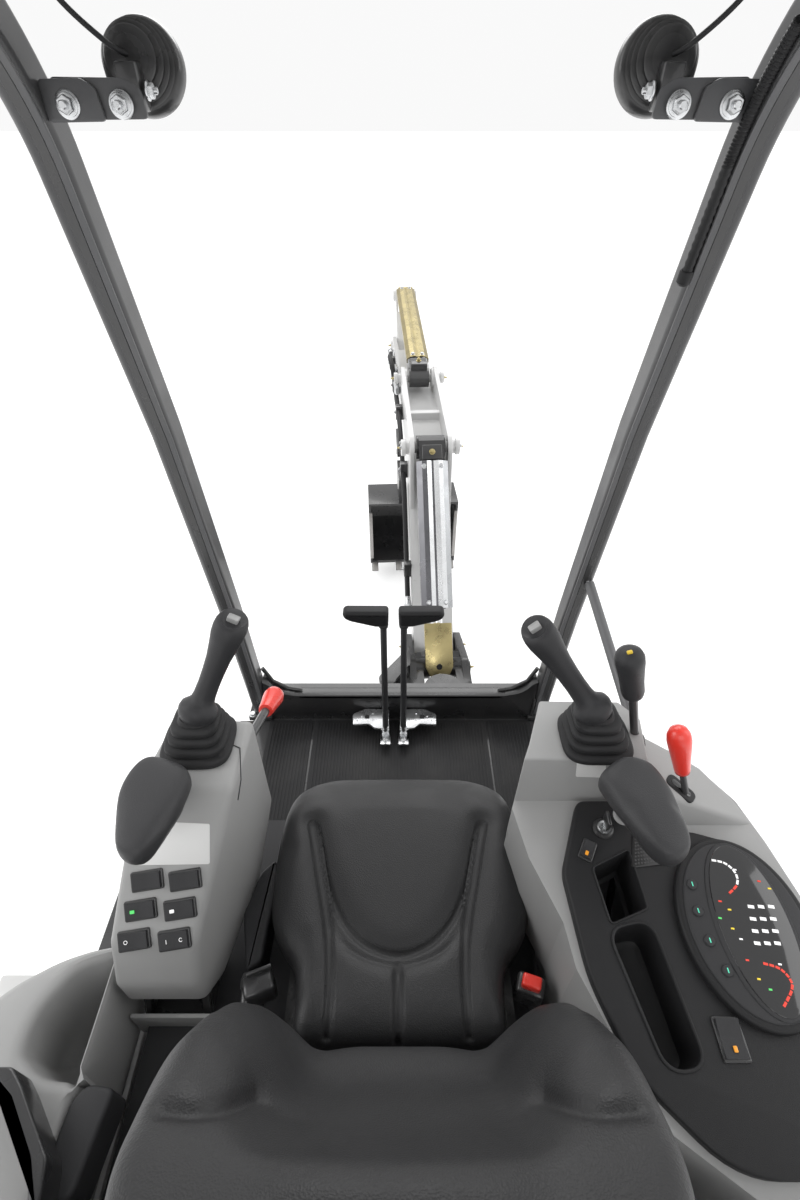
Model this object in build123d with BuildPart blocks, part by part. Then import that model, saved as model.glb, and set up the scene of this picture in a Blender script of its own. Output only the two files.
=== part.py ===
from build123d import *
from math import sin, cos, radians, degrees, hypot, atan2
import os

os.makedirs("parts", exist_ok=True)

# ---------------------------------------------------------------- driving dimensions (mm)
# All sketches are drawn from the slew axis on the ground: +X right, +Y ahead, +Z up.
Y0 = -853.63          # slew axis to the middle of the whole length
U = 90.0              # height of the upper structure above its drawing datum
TRACK_IN, TRACK_OUT = 450.0, 750.0     # track inner and outer faces
TRACK_C = 750.0       # sprocket and idler centres, ahead and behind
TRACK_R = 200.0       # shoe tips
BELT_R, BELT_IN = 178.0, 150.0
FLOOR = U + 620.0     # operator's floor
TAIL_R = 785.0        # tail swing radius
POST_X = 420.0        # canopy posts
SWING = radians(3.18) # the boom stands this far to the left
XS, YS = 149.3, 830.0 # swing pin
BOOM_HALF = 78.0
BUCKET_HALF = 240.0

# boom plane points: distance ahead of the swing pin, height
CF = (150.0, U + 449)    # boom cylinder foot
CT = (677.0, U + 1076)   # boom cylinder top
BF = (340.5, U + 380)    # boom foot
AB = (1223.0, U + 1136)  # arm cylinder base
AL = (2240.0, U + 1228)  # arm cylinder rod pin
BT = (2053.0, U + 1020)  # boom tip, arm pivot
BO = (1442.0, U + 490)   # bucket pin
ARM_L = hypot(BO[0] - BT[0], BO[1] - BT[1])
AU = ((BO[0] - BT[0]) / ARM_L, (BO[1] - BT[1]) / ARM_L)
AW = (-AU[1], AU[0])
LEVER = 160.0            # rocker lever, and bucket pin to link pin
LINK = 190.0             # tipping link, and lever pin to bucket pin
PSI = radians(150.0)     # lever from the arm's line, at rest


def A(u, w):
    """Arm point: u along the arm from its pivot, w to its outer side."""
    return (BT[0] + u * AU[0] + w * AW[0], BT[1] + u * AU[1] + w * AW[1])


LM = A(ARM_L - LINK, 0)                                             # rocker lever pin
LN = A(ARM_L - LINK + LEVER * cos(PSI), LEVER * sin(PSI))           # lever, link and rod
LP = A(ARM_L + LEVER * cos(PSI), LEVER * sin(PSI))                  # link on the bucket
BB = A(20, 120)                                                     # bucket cylinder base
BLADE_PIVOT = (-560.0, 230.0)
BLADE_B = (-470.0, 305.0)
BLADE_R = (-1150.0, 195.0)
SWB = (-110.0, 200.0, 588.0)       # swing cylinder base (x, y, z)
SWT = (-43.0, 859.0, 588.0)        # swing cylinder rod eye


# ---------------------------------------------------------------- planes and small features
def yz(x):
    return Plane(origin=(x, Y0, 0), x_dir=(0, 1, 0), z_dir=(1, 0, 0))


def xz(y):
    return Plane(origin=(0, Y0 + y, 0), x_dir=(1, 0, 0), z_dir=(0, -1, 0))


def xy(z):
    return Plane(origin=(0, Y0, z))


def bp(n=0.0):
    return Plane(origin=(XS + n * cos(SWING), Y0 + YS + n * sin(SWING), 0),
                 x_dir=(-sin(SWING), cos(SWING), 0), z_dir=(cos(SWING), sin(SWING), 0))


def bw(s, z, n=0.0):
    return Vector(XS + n * cos(SWING) - s * sin(SWING), Y0 + YS + n * sin(SWING) + s * cos(SWING), z)


def prism(plane, pts, t, mode=Mode.ADD, both=False):
    with BuildSketch(plane) as s:
        with BuildLine():
            Polyline(*pts, close=True)
        make_face()
    extrude(to_extrude=s.sketch, amount=t, both=both, mode=mode)


def disc(plane, c, r, t, mode=Mode.ADD, both=False):
    with BuildSketch(plane) as s:
        with Locations(c):
            Circle(r)
    extrude(to_extrude=s.sketch, amount=t, both=both, mode=mode)


def strap(plane, p, q, r1, r2, t, mode=Mode.ADD, both=False):
    """A flat link with two round ends."""
    d = hypot(q[0] - p[0], q[1] - p[1])
    a = atan2(q[1] - p[1], q[0] - p[0])
    b = (r1 - r2) / d
    c = (1 - b * b) ** 0.5
    pts = []
    for sgn in (1, -1):
        nx, ny = b * cos(a) - sgn * c * sin(a), b * sin(a) + sgn * c * cos(a)
        pts.append(((p[0] + r1 * nx, p[1] + r1 * ny), (q[0] + r2 * nx, q[1] + r2 * ny)))
    prism(plane, [pts[0][0], pts[0][1], pts[1][1], pts[1][0]], t, mode, both)
    disc(plane, p, r1, t, mode, both)
    disc(plane, q, r2, t, mode, both)


def rod3(p, q, r, mode=Mode.ADD, r2=None):
    p, q = Vector(*p), Vector(*q)
    with BuildSketch(Plane(origin=p, z_dir=(q - p).normalized())) as s:
        Circle(r)
    if r2 is None:
        extrude(to_extrude=s.sketch, amount=(q - p).length, mode=mode)
    else:
        with BuildSketch(Plane(origin=q, z_dir=(q - p).normalized())) as s2:
            Circle(r2)
        loft(sections=[s.sketch.faces()[0], s2.sketch.faces()[0]], mode=mode)


def block(x, y, z, mode=Mode.ADD):
    """A box from its three ranges."""
    prism(xy(z[0]), [(x[0], y[0]), (x[1], y[0]), (x[1], y[1]), (x[0], y[1])], z[1] - z[0], mode)


def along(p, q, d, off=0.0):
    """Point at distance d from p towards q, off to the left of that line."""
    l = hypot(q[0] - p[0], q[1] - p[1])
    ex, ey = (q[0] - p[0]) / l, (q[1] - p[1]) / l
    return (p[0] + d * ex - off * ey, p[1] + d * ey + off * ex)


def barrel(p, q, r, length, bore, depth, eye_r, eye_w, pin_r):
    """Cylinder barrel on its base pin p, pointing to q."""
    rod3(bw(*p), bw(*along(p, q, length)), r)
    disc(bp(-eye_w / 2), p, eye_r, eye_w)
    rod3(bw(*along(p, q, length - depth)), bw(*along(p, q, length + 1)), bore, Mode.SUBTRACT)
    disc(bp(-eye_w), p, pin_r, 2 * eye_w, Mode.SUBTRACT)


def ram(p, q, r, start, eye_r, eye_w):
    """Rod from distance start inside the barrel to the eye at q."""
    l = hypot(q[0] - p[0], q[1] - p[1])
    rod3(bw(*along(p, q, start)), bw(*along(p, q, l)), r)
    disc(bp(-eye_w / 2), q, eye_r, eye_w)


# ================================================================ undercarriage
def track(x):
    with BuildSketch(yz(x)) as s:
        with Locations((0, TRACK_R)):
            SlotCenterToCenter(2 * TRACK_C, 2 * BELT_R)
        for k in range(16):
            y = -TRACK_C + (k + 0.5) * 2 * TRACK_C / 16
            with Locations((y, 11.5), (y, 2 * TRACK_R - 11.5)):
                Rectangle(46, 23)
        for sgn in (1, -1):
            for k in range(6):
                a = radians(-75 + 30 * k)
                with Locations(Location((sgn * (TRACK_C + 187 * cos(a)), TRACK_R + 187 * sin(a), 0),
                                        degrees(a) * sgn)):
                    Rectangle(24, 46)
        with Locations((0, TRACK_R)):
            SlotCenterToCenter(2 * TRACK_C, 2 * BELT_IN, mode=Mode.SUBTRACT)
    extrude(to_extrude=s.sketch, amount=TRACK_OUT - TRACK_IN)


with BuildPart() as track_left:
    track(-TRACK_OUT)
track_left.part.label = "track_left"

with BuildPart() as track_right:
    track(TRACK_IN)
track_right.part.label = "track_right"

with BuildPart() as undercarriage_frame:
    # centre turret under the slew ring
    disc(xy(250), (0, 0), 330, 178)
    disc(xy(240), (0, 0), 150, 200, Mode.SUBTRACT)
    # four legs out to the side beams
    for sx in (1, -1):
        for sy in (1, -1):
            prism(xy(170), [(sx * 150, sy * 180), (sx * 150, sy * 340), (sx * 560, sy * 470),
                            (sx * 560, sy * 260)], 150)
    disc(xy(160), (0, 0), 150, 300, Mode.SUBTRACT)
    # side beams, skirts over the rollers
    for sx in (1, -1):
        x0 = 530 if sx > 0 else -670
        prism(yz(x0), [(-600, 160), (-600, 285), (600, 285), (600, 160), (560, 85), (-560, 85)], 140)
        prism(yz(x0 + 15), [(-560, 60), (-560, 158), (560, 158), (560, 60)], 110, Mode.SUBTRACT)
        # motor plates at the drive end, fork at the idler end
        xi = 530 if sx > 0 else -550
        strap(yz(xi), (560, 215), (TRACK_C, TRACK_R), 68, 95, 20)
        for xf in (530, 650):
            xx = xf if sx > 0 else -xf - 20
            strap(yz(xx), (-570, 215), (-TRACK_C, TRACK_R), 60, 45, 20)
        # top roller stand
        block((sx * 560 if sx > 0 else -575, 575 if sx > 0 else -560), (-28, 28), (284, 330))
    # blade clevises and blade cylinder lug at the back
    for x in (-372, -302, 292, 362):
        prism(yz(x), [(-300, 180), (-300, 300), (-470, 290), (-560, 275), (-600, 230), (-560, 185), (-470, 175)], 10)
    for x in (-330, 330):
        disc(yz(x - 38), BLADE_PIVOT, 18, 76)
    for x in (-44, 34):
        prism(yz(x), [(-280, 250), (-300, 372), (-330, 378), (-440, 342), (-498, 328), (-506, 290), (-450, 268), (-300, 240)], 10)
    disc(yz(-40), BLADE_B, 15, 80)
    # tie-down lugs at the drive end
    for sx in (1, -1):
        prism(xy(225), [(sx * 200, 270), (sx * 330, 300), (sx * 330, 440), (sx * 300, 470), (sx * 250, 470),
                        (sx * 220, 440)], 22)
        disc(xy(215), (sx * 275, 425), 20, 50, Mode.SUBTRACT)
undercarriage_frame.part.label = "undercarriage_frame"

with BuildPart() as slew_ring:
    disc(xy(428), (0, 0), 305, 84)
    disc(xy(420), (0, 0), 245, 100, Mode.SUBTRACT)
slew_ring.part.label = "slew_ring"

with BuildPart() as final_drives:
    for sx in (1, -1):
        x0 = 550 if sx > 0 else -700
        # sprocket ring with its teeth
        with BuildSketch(yz(590 if sx > 0 else -620)) as s:
            with Locations((TRACK_C, TRACK_R)):
                Circle(128)
                with PolarLocations(0, 13):
                    with Locations((131, 0)):
                        Rectangle(28, 22)
        extrude(to_extrude=s.sketch, amount=30)
        disc(yz(x0), (TRACK_C, TRACK_R), 88, 150)
        disc(yz(700 if sx > 0 else -712), (TRACK_C, TRACK_R), 62, 12)
final_drives.part.label = "final_drives"

with BuildPart() as idlers:
    for sx in (1, -1):
        xc = sx * 600
        disc(yz(xc - 20), (-TRACK_C, TRACK_R), 146, 40)
        disc(yz(xc - 38), (-TRACK_C, TRACK_R), 112, 76)
        disc(yz(xc - 50), (-TRACK_C, TRACK_R), 36, 100)
idlers.part.label = "idlers"

with BuildPart() as track_rollers:
    for sx in (1, -1):
        xc = sx * 600
        for y in (-480, -240, 0, 240, 480):
            disc(yz(xc - 48), (y, 101), 50, 30)
            disc(yz(xc + 18), (y, 101), 50, 30)
            disc(yz(xc - 55), (y, 101), 30, 110)
        disc(yz(575 if sx > 0 else -655), (0, 320), 18, 80)
        disc(yz(585 if sx > 0 else -640), (0, 320), 28, 55)
track_rollers.part.label = "track_rollers"

# ================================================================ blade
with BuildPart() as dozer_blade:
    prism(yz(-TRACK_OUT), [(-1262, 20), (-1282, 12), (-1400, 14), (-1350, 90), (-1338, 170), (-1352, 250),
                           (-1385, 318), (-1370, 322), (-1332, 252), (-1316, 170), (-1326, 95), (-1345, 62),
                           (-1262, 62)], 2 * TRACK_OUT)
    # box stiffener behind the plate
    prism(yz(-600), [(-1345, 55), (-1230, 70), (-1230, 150), (-1318, 200), (-1318, 160)], 1200)
    # two arms
    for x in (-330, 330):
        prism(yz(x - 22), [(-560, 190), (-560, 270), (-700, 268), (-1235, 200), (-1240, 80), (-1100, 110), (-700, 175)], 44)
        disc(yz(x - 22), BLADE_PIVOT, 40, 44)
        disc(yz(x - 40), BLADE_PIVOT, 18.5, 80, Mode.SUBTRACT)
    # lug for the cylinder
    for x in (-44, 30):
        prism(yz(x), [(-1122, 165), (-1122, 218), (-1160, 228), (-1230, 186), (-1318, 182), (-1318, 130), (-1232, 130), (-1160, 160)], 14)
    # tie-down ears at the blade's top corners
    for sx in (1, -1):
        prism(yz(sx * 640 - 8), [(-1340, 200), (-1345, 262), (-1318, 275), (-1285, 262), (-1280, 235), (-1300, 195)], 16)
        disc(yz(sx * 640 - 20), (-1310, 238), 16, 40, Mode.SUBTRACT)
dozer_blade.part.label = "dozer_blade"


def yzrod(p, q, r, mode=Mode.ADD):
    rod3((0, Y0 + p[0], p[1]), (0, Y0 + q[0], q[1]), r, mode)


BL_L = hypot(BLADE_R[0] - BLADE_B[0], BLADE_R[1] - BLADE_B[1])
with BuildPart() as blade_cylinder_barrel:
    yzrod(BLADE_B, along(BLADE_B, BLADE_R, 560), 34)
    disc(yz(-30), BLADE_B, 32, 60)
    yzrod(along(BLADE_B, BLADE_R, 300), along(BLADE_B, BLADE_R, 561), 17.5, Mode.SUBTRACT)
    disc(yz(-50), BLADE_B, 15.4, 100, Mode.SUBTRACT)
blade_cylinder_barrel.part.label = "blade_cylinder_barrel"

with BuildPart() as blade_cylinder_rod:
    yzrod(along(BLADE_B, BLADE_R, 440), BLADE_R, 17)
    disc(yz(-26), BLADE_R, 28, 52)
blade_cylinder_rod.part.label = "blade_cylinder_rod"

# ================================================================ house
with BuildPart() as house_frame:
    # round deck plate, straight sides, flat front
    with BuildSketch(xy(515)) as s:
        with BuildSketch(mode=Mode.PRIVATE) as c:
            Circle(768)
        add(c.sketch)
        with Locations((0, 0)):
            Rectangle(1490, 1600, mode=Mode.INTERSECT)
        with Locations((0, 900)):
            Rectangle(2000, 560, mode=Mode.SUBTRACT)
        with BuildLine():
            Polyline((-445, 400), (445, 400), (445, 750), (-445, 750), close=True)
        make_face()
    extrude(to_extrude=s.sketch, amount=30)
    # inner race
    disc(xy(440), (0, 0), 238, 76)
    disc(xy(430), (0, 0), 205, 200, Mode.SUBTRACT)
    # floor plate on its side walls and front wall
    block((-445, 445), (145, 750), (FLOOR - 10, FLOOR))
    block((-445, -431), (0, 750), (544, FLOOR - 9))
    block((431, 445), (0, 750), (544, FLOOR - 9))
    block((-445, 445), (736, 750), (544, FLOOR - 9))
    # window for the swinging post
    block((-155, 345), (704, 760), (480, 640), Mode.SUBTRACT)
    # swing bracket: two ears and the box that carries them
    for z0, z1 in ((455, 480), (572, 598)):
        with BuildSketch(xy(z0)) as s:
            with Locations((XS, YS)):
                Circle(66)
            with BuildLine():
                Polyline((XS - 66, YS), (XS + 66, YS), (XS + 90, 560), (XS - 66, 560), close=True)
            make_face()
        extrude(to_extrude=s.sketch, amount=z1 - z0)
    prism(xy(455), [(XS - 66, 700), (XS + 76, 700), (XS + 90, 560), (XS - 66, 560)], 135)
    # slot for the swing cylinder and its lug
    block((-155, 78), (600, 760), (510, 640), Mode.SUBTRACT)
    # swing pin
    disc(xy(450), (XS, YS), 30, 150)
    # clevis of the swing cylinder's base
    block((-150, -70), (160, 240), (544, 557))
    disc(xy(550), (SWB[0], SWB[1]), 14, 62)
house_frame.part.label = "house_frame"

with BuildPart() as counterweight:
    with BuildSketch(xy(546)) as s:
        Circle(TAIL_R)
        Circle(690, mode=Mode.SUBTRACT)
        with Locations((0, 700)):
            Rectangle(2000, 2000, mode=Mode.SUBTRACT)
        with Locations((0, 0)):
            Rectangle(1490, 2000, mode=Mode.INTERSECT)
    extrude(to_extrude=s.sketch, amount=354)
    fillet(counterweight.faces().sort_by(Axis.Z)[-1].edges(), 12)
counterweight.part.label = "counterweight"

with BuildPart() as engine_block:
    block((-260, 160), (-490, -230), (546, 850))
engine_block.part.label = "engine_block"

with BuildPart() as seat_box:
    block((-430, 245), (-530, 140), (546, 940))
    block((-418, 233), (-518, 128), (540, 928), Mode.SUBTRACT)
    # rear wall behind the seat, up to the lid
    block((-385, 385), (-640, -530), (905, 1225))
    block((-373, 373), (-650, -542), (900, 1213), Mode.SUBTRACT)
    # hinge tube of the hood
    rod3((-300, Y0 - 640, 1233), (300, Y0 - 640, 1233), 5)
    block((-300, 300), (-640, -610), (1224, 1230))
seat_box.part.label = "seat_box"

with BuildPart() as side_covers:
    for sx in (1, -1):
        y1 = 420 if sx > 0 else -150
        with BuildSketch(xy(546)) as s:
            Circle(766)
            with Locations((sx * 596, (y1 - 525) / 2)):
                Rectangle(298, y1 + 525, mode=Mode.INTERSECT)
        extrude(to_extrude=s.sketch, amount=357 if sx < 0 else 414)
    # room for the counterweight's horns
    with BuildSketch(xy(540)) as s:
        Circle(900)
        Circle(686, mode=Mode.SUBTRACT)
        with Locations((0, 705)):
            Rectangle(2000, 2000, mode=Mode.SUBTRACT)
    extrude(to_extrude=s.sketch, amount=500, mode=Mode.SUBTRACT)
    # the right cover falls away to the front
    prism(yz(400), [(150, 961), (440, 850), (440, 1000), (150, 1000)], 400, Mode.SUBTRACT)
side_covers.part.label = "side_covers"

with BuildPart() as storage_tub:
    with BuildSketch(xy(905)) as s:
        with BuildLine():
            Polyline((-455, -160), (-540, -170), (-640, -230), (-690, -330), (-690, -480), (-640, -560),
                     (-455, -560), close=True)
        make_face()
        fillet(s.vertices().group_by(Axis.X)[0], 60)
    extrude(to_extrude=s.sketch, amount=U + 1000 - 905)
    with BuildSketch(xy(925)) as s:
        with BuildLine():
            Polyline((-478, -190), (-545, -205), (-615, -262), (-640, -340), (-560, -380), (-478, -370), close=True)
        make_face()
        fillet(s.vertices(), 18)
    extrude(to_extrude=s.sketch, amount=400, mode=Mode.SUBTRACT)
storage_tub.part.label = "storage_tub"

with BuildPart() as rear_shrouds:
    for sx in (1, -1):
        with BuildSketch(xy(905)) as s:
            Circle(762)
            with Locations((sx * 545, -606)):
                Rectangle(310, 72, mode=Mode.INTERSECT)
        extrude(to_extrude=s.sketch, amount=331)
rear_shrouds.part.label = "rear_shrouds"

with BuildPart() as engine_hood:
    with BuildSketch(xy(906)) as s:
        Circle(770)
        with Locations((0, -710)):
            Rectangle(764, 128, mode=Mode.INTERSECT)
    extrude(to_extrude=s.sketch, amount=330)
    with BuildSketch(xy(900)) as s:
        Circle(763)
        with Locations((0, -700)):
            Rectangle(750, 160, mode=Mode.INTERSECT)
    extrude(to_extrude=s.sketch, amount=329, mode=Mode.SUBTRACT)
engine_hood.part.label = "engine_hood"

with BuildPart() as floor_mat:
    block((-392, 392), (160, 598), (FLOOR, FLOOR + 5))
floor_mat.part.label = "floor_mat"

with BuildPart() as front_bar:
    prism(xz(640), [(-397, FLOOR), (-397, U + 778), (-380, U + 778), (-366, U + 748), (-340, U + 730), (-300, U + 724),
                    (300, U + 724), (340, U + 730), (366, U + 748), (380, U + 778), (397, U + 778), (397, FLOOR)], 34)
front_bar.part.label = "front_bar"


def post_profile(line, x):
    with BuildSketch(Plane(origin=line @ 0, x_dir=(1, 0, 0), z_dir=line % 0)) as s:
        RectangleRounded(42, 58, 12)
    return s.sketch


with BuildPart() as front_posts:
    for sx in (1, -1):
        with BuildLine(yz(sx * POST_X)) as path:
            l1 = Line((640, FLOOR), (568, U + 1080))
            l2 = Line(l1 @ 1, (463, U + 1613))
            l3 = Line(l2 @ 1, (356, U + 2000))
            l4 = JernArc(start=l3 @ 1, tangent=l3 % 1, radius=300, arc_size=74.5)
        w = path.wires()[0]
        with BuildSketch(Plane(origin=w @ 0, x_dir=(1, 0, 0), z_dir=w % 0)) as s:
            RectangleRounded(42, 58, 12)
        sweep(sections=s.sketch, path=w, transition=Transition.ROUND)
    split(bisect_by=Plane(origin=(0, 0, FLOOR), z_dir=(0, 0, 1)), keep=Keep.TOP)
front_posts.part.label = "front_posts"
FP = front_posts.part.bounding_box()
RAIL_Y = FP.min.Y - Y0
RAIL_Z = FP.max.Z - 29

with BuildPart() as rear_posts:
    for sx in (1, -1):
        with BuildLine(yz(sx * POST_X)) as path:
            l1 = Line((-606, 1236), (-606, RAIL_Z - 250))
            l2 = JernArc(start=l1 @ 1, tangent=l1 % 1, radius=250, arc_size=-90)
        w = path.wires()[0]
        with BuildSketch(Plane(origin=w @ 0, x_dir=(1, 0, 0), z_dir=w % 0)) as s:
            RectangleRounded(42, 58, 12)
        sweep(sections=s.sketch, path=w)
rear_posts.part.label = "rear_posts"

with BuildPart() as roof_rails:
    for sx in (1, -1):
        with BuildSketch(Plane(origin=(sx * POST_X, Y0 - 356, RAIL_Z), x_dir=(1, 0, 0), z_dir=(0, 1, 0))) as s:
            RectangleRounded(42, 58, 12)
        extrude(to_extrude=s.sketch, amount=RAIL_Y + 356)
    for y in (-330, 30):
        with BuildSketch(Plane(origin=(-POST_X + 21, Y0 + y, RAIL_Z), x_dir=(0, 1, 0), z_dir=(1, 0, 0))) as s:
            RectangleRounded(40, 40, 6)
        extrude(to_extrude=s.sketch, amount=2 * POST_X - 42)
roof_rails.part.label = "roof_rails"

with BuildPart() as canopy_roof:
    with BuildSketch(xy(RAIL_Z + 29)) as s:
        with Locations((0, -160)):
            RectangleRounded(1040, 1160, 110)
    extrude(to_extrude=s.sketch, amount=62)
    fillet(canopy_roof.faces().sort_by(Axis.Z)[-1].edges(), 24)
    with BuildSketch(xy(RAIL_Z + 28)) as s:
        with Locations((0, -160)):
            RectangleRounded(740, 1040, 80)
    extrude(to_extrude=s.sketch, amount=45, mode=Mode.SUBTRACT)
canopy_roof.part.label = "canopy_roof"

# ---------------------------------------------------------------- right console
PANEL = Plane(origin=(0, Y0 - 200, U + 1128), x_dir=(1, 0, 0), z_dir=(0, -sin(radians(5.22)), cos(radians(5.22))))


def panel_pockets(plane, depth):
    """The small tray and the long rounded pocket."""
    for pts, r in (([(300, 88), (309, 9), (367, 30), (362, 116)], 5), ([(302, 0), (337, -163), (388, -158), (366, 13)], 20)):
        with BuildSketch(plane) as s:
            with BuildLine():
                Polyline(*pts, close=True)
            make_face()
            fillet(s.vertices(), r)
        extrude(to_extrude=s.sketch, amount=depth, mode=Mode.SUBTRACT)


with BuildPart() as right_console:
    with BuildSketch(xy(FLOOR)) as s:
        with BuildLine():
            Polyline((252, 152), (219, 60), (190, -7), (206, -90), (243, -185), (250, -245), (285, -330), (330, -420),
                     (430, -490), (560, -490), (622, -300), (614, -153), (596, -65), (574, 5), (531, 67), (482, 90),
                     (420, 112), (392, 150), close=True)
        make_face()
    extrude(to_extrude=s.sketch, amount=U + 1235 - FLOOR)
    # side profile: boot plateau, step down to the dark panel's seat
    prism(yz(150), [(28, U + 1236), (6, U + 1146.4), (-500, U + 1100.2), (-500, U + 1300), (28, U + 1300)], 600, Mode.SUBTRACT)
    # the lever shelf falls away to the outside
    prism(xz(300), [(398, U + 1236), (398, U + 1208), (660, U + 1116), (700, U + 1116), (700, U + 1236)], 345, Mode.SUBTRACT)
    # the outer part stands on the side cover
    block((429, 700), (-600, 300), (FLOOR - 5, 962), Mode.SUBTRACT)
    # the inner part stands beside the seat box, above the floor's edge
    block((150, 430), (-600, 142), (FLOOR - 5, 943), Mode.SUBTRACT)
    # its top leans over the seat's edge
    block((150, 248), (-600, 300), (FLOOR - 5, U + 1045), Mode.SUBTRACT)
    panel_pockets(PANEL.offset(-70), 100)
right_console.part.label = "right_console"

with BuildPart() as control_panel:
    with BuildSketch(PANEL) as s:
        with BuildLine():
            Polyline((298, 200), (252, 84), (262, -58), (300, -170), (392, -262), (545, -262), (600, -130),
                     (606, 10), (560, 120), (470, 148), (396, 150), (388, 200), close=True)
        make_face()
        fillet(s.vertices(), 12)
    extrude(to_extrude=s.sketch, amount=16)
    panel_pockets(PANEL.offset(-5), 30)
control_panel.part.label = "control_panel"

with BuildPart() as instrument_cluster:
    with BuildSketch(PANEL.offset(16)) as s:
        with Locations((500, 2)):
            Ellipse(95, 128)
    extrude(to_extrude=s.sketch, amount=9)
instrument_cluster.part.label = "instrument_cluster"


def joystick(x, y, hx, hy, hz):
    z0 = U + 1235
    for k, (w, d) in enumerate(((116, 106), (98, 90), (82, 76), (66, 62))):
        with BuildSketch(Plane(origin=(x, Y0 + y, z0 + 18 * k))) as s:
            RectangleRounded(w, d, 20)
        extrude(to_extrude=s.sketch, amount=18)
    rod3((x, Y0 + y, z0 + 66), (hx, Y0 + hy, hz), 21)
    with BuildPart(mode=Mode.PRIVATE) as head:
        Sphere(27)
    add(head.part.moved(Location((hx, Y0 + hy, hz))))


with BuildPart() as right_joystick:
    joystick(330, 68, 223, 125, U + 1425)
right_joystick.part.label = "right_joystick"

with BuildPart() as right_wrist_rest:
    with BuildSketch(xy(U + 1262)) as s:
        with BuildLine():
            Polyline((347, -7), (300, -39), (318, -100), (345, -158), (372, -170), (397, -149), (396, -60),
                     (380, -18), close=True)
        make_face()
        fillet(s.vertices(), 14)
    extrude(to_extrude=s.sketch, amount=40)
    disc(PANEL.offset(16), (368, 172), 10, 110)
right_wrist_rest.part.label = "right_wrist_rest"

with BuildPart() as right_levers:
    rod3((410, Y0 + 84, U + 1208), (372, Y0 + 80, U + 1345), 9)
    rod3((372, Y0 + 80, U + 1340), (345, Y0 + 80, U + 1425), 22)
    rod3((474, Y0 - 2, U + 1185), (462, Y0 + 14, U + 1222), 6)
    rod3((462, Y0 + 14, U + 1222), (440, Y0 + 33, U + 1300), 15, r2=20)
right_levers.part.label = "right_levers"

# ---------------------------------------------------------------- left console, tilts up
with BuildPart() as left_console:
    with BuildSketch(xy(U + 880)) as s:
        with BuildLine():
            Polyline((-256, 112), (-398, 116), (-451, -228), (-318, -228), (-262, -30), close=True)
        make_face()
    extrude(to_extrude=s.sketch, amount=400)
    with BuildSketch(yz(-600)) as s:
        with BuildLine():
            Polyline((116, U + 985), (116, U + 1235), (-30, U + 1235), (-198, U + 1080), (-228, U + 1000),
                     (-228, U + 930), (-180, U + 900), close=True)
        make_face()
        fillet(s.vertices(), 10)
    extrude(to_extrude=s.sketch, amount=500, mode=Mode.INTERSECT)
    # hinge tube in a notch at the back
    block((-446, -314), (-260, -120), (U + 880, U + 950), Mode.SUBTRACT)
    rod3((-420, Y0 - 185, U + 915), (-340, Y0 - 185, U + 915), 20)
    block((-420, -340), (-196, -174), (U + 915, U + 955))
    rod3((-430, Y0 - 185, U + 915), (-330, Y0 - 185, U + 915), 12.5, Mode.SUBTRACT)
left_console.part.label = "left_console"

with BuildPart() as console_bracket:
    # the hinge stands on the seat box
    for x in (-436, -336):
        prism(yz(x), [(-235, 941), (-135, 941), (-165, U + 915), (-176, U + 934), (-194, U + 934), (-205, U + 915)], 12)
    rod3((-436, Y0 - 185, U + 915), (-324, Y0 - 185, U + 915), 12)
    block((-436, -324), (-235, -135), (941, 949))
console_bracket.part.label = "console_bracket"

SLOPE = Plane(origin=(-378, Y0 - 114, U + 1157.5), x_dir=(1, 0, 0),
              z_dir=(0, -155 / 228.6, 168 / 228.6))
with BuildPart() as left_switches:
    with BuildSketch(SLOPE) as s:
        with Locations(Location((0, 0, 0), 9)):
            with GridLocations(62, 46, 2, 3):
                RectangleRounded(50, 27, 4)
    extrude(to_extrude=s.sketch, amount=7)
left_switches.part.label = "left_switches"

with BuildPart() as left_joystick:
    joystick(-338, 60, -270, 135, U + 1430)
left_joystick.part.label = "left_joystick"

with BuildPart() as left_wrist_rest:
    with BuildSketch(xy(U + 1262)) as s:
        with BuildLine():
            Polyline((-385, -7), (-318, -33), (-322, -112), (-345, -165), (-381, -160), (-408, -70), (-404, -28), close=True)
        make_face()
        fillet(s.vertices(), 14)
    extrude(to_extrude=s.sketch, amount=40)
    rod3((-362, Y0 - 22, U + 1235), (-362, Y0 - 40, U + 1264), 13)
left_wrist_rest.part.label = "left_wrist_rest"

with BuildPart() as safety_lever:
    rod3((-280, Y0 + 117, U + 1165), (-270, Y0 + 225, U + 1122), 9)
    rod3((-270, Y0 + 225, U + 1122), (-265, Y0 + 290, U + 1097), 17, r2=22)
safety_lever.part.label = "safety_lever"

# ---------------------------------------------------------------- floor controls, lamps, stay
with BuildPart() as travel_levers:
    for x, sx in ((-42, -1), (10, 1)):
        rod3((x, Y0 + 540, FLOOR + 46), (x, Y0 + 562, U + 1060), 9)
        prism(xz(584), [(x - sx * 14, U + 1050), (x - sx * 14, U + 1098), (x + sx * 96, U + 1098), (x + sx * 102, U + 1085),
                        (x + sx * 90, U + 1068), (x + sx * 10, U + 1048)], 40)
travel_levers.part.label = "travel_levers"

with BuildPart() as travel_pedals:
    for x, sx in ((-42, -1), (10, 1)):
        prism(xy(FLOOR + 36), [(x - sx * 10, 530), (x + sx * 96, 545), (x + sx * 96, 585), (x + sx * 60, 605), (x - sx * 10, 600)], 8)
        block((x - 14, x + 14), (515, 560), (FLOOR + 5, FLOOR + 46))
travel_pedals.part.label = "travel_pedals"

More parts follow.
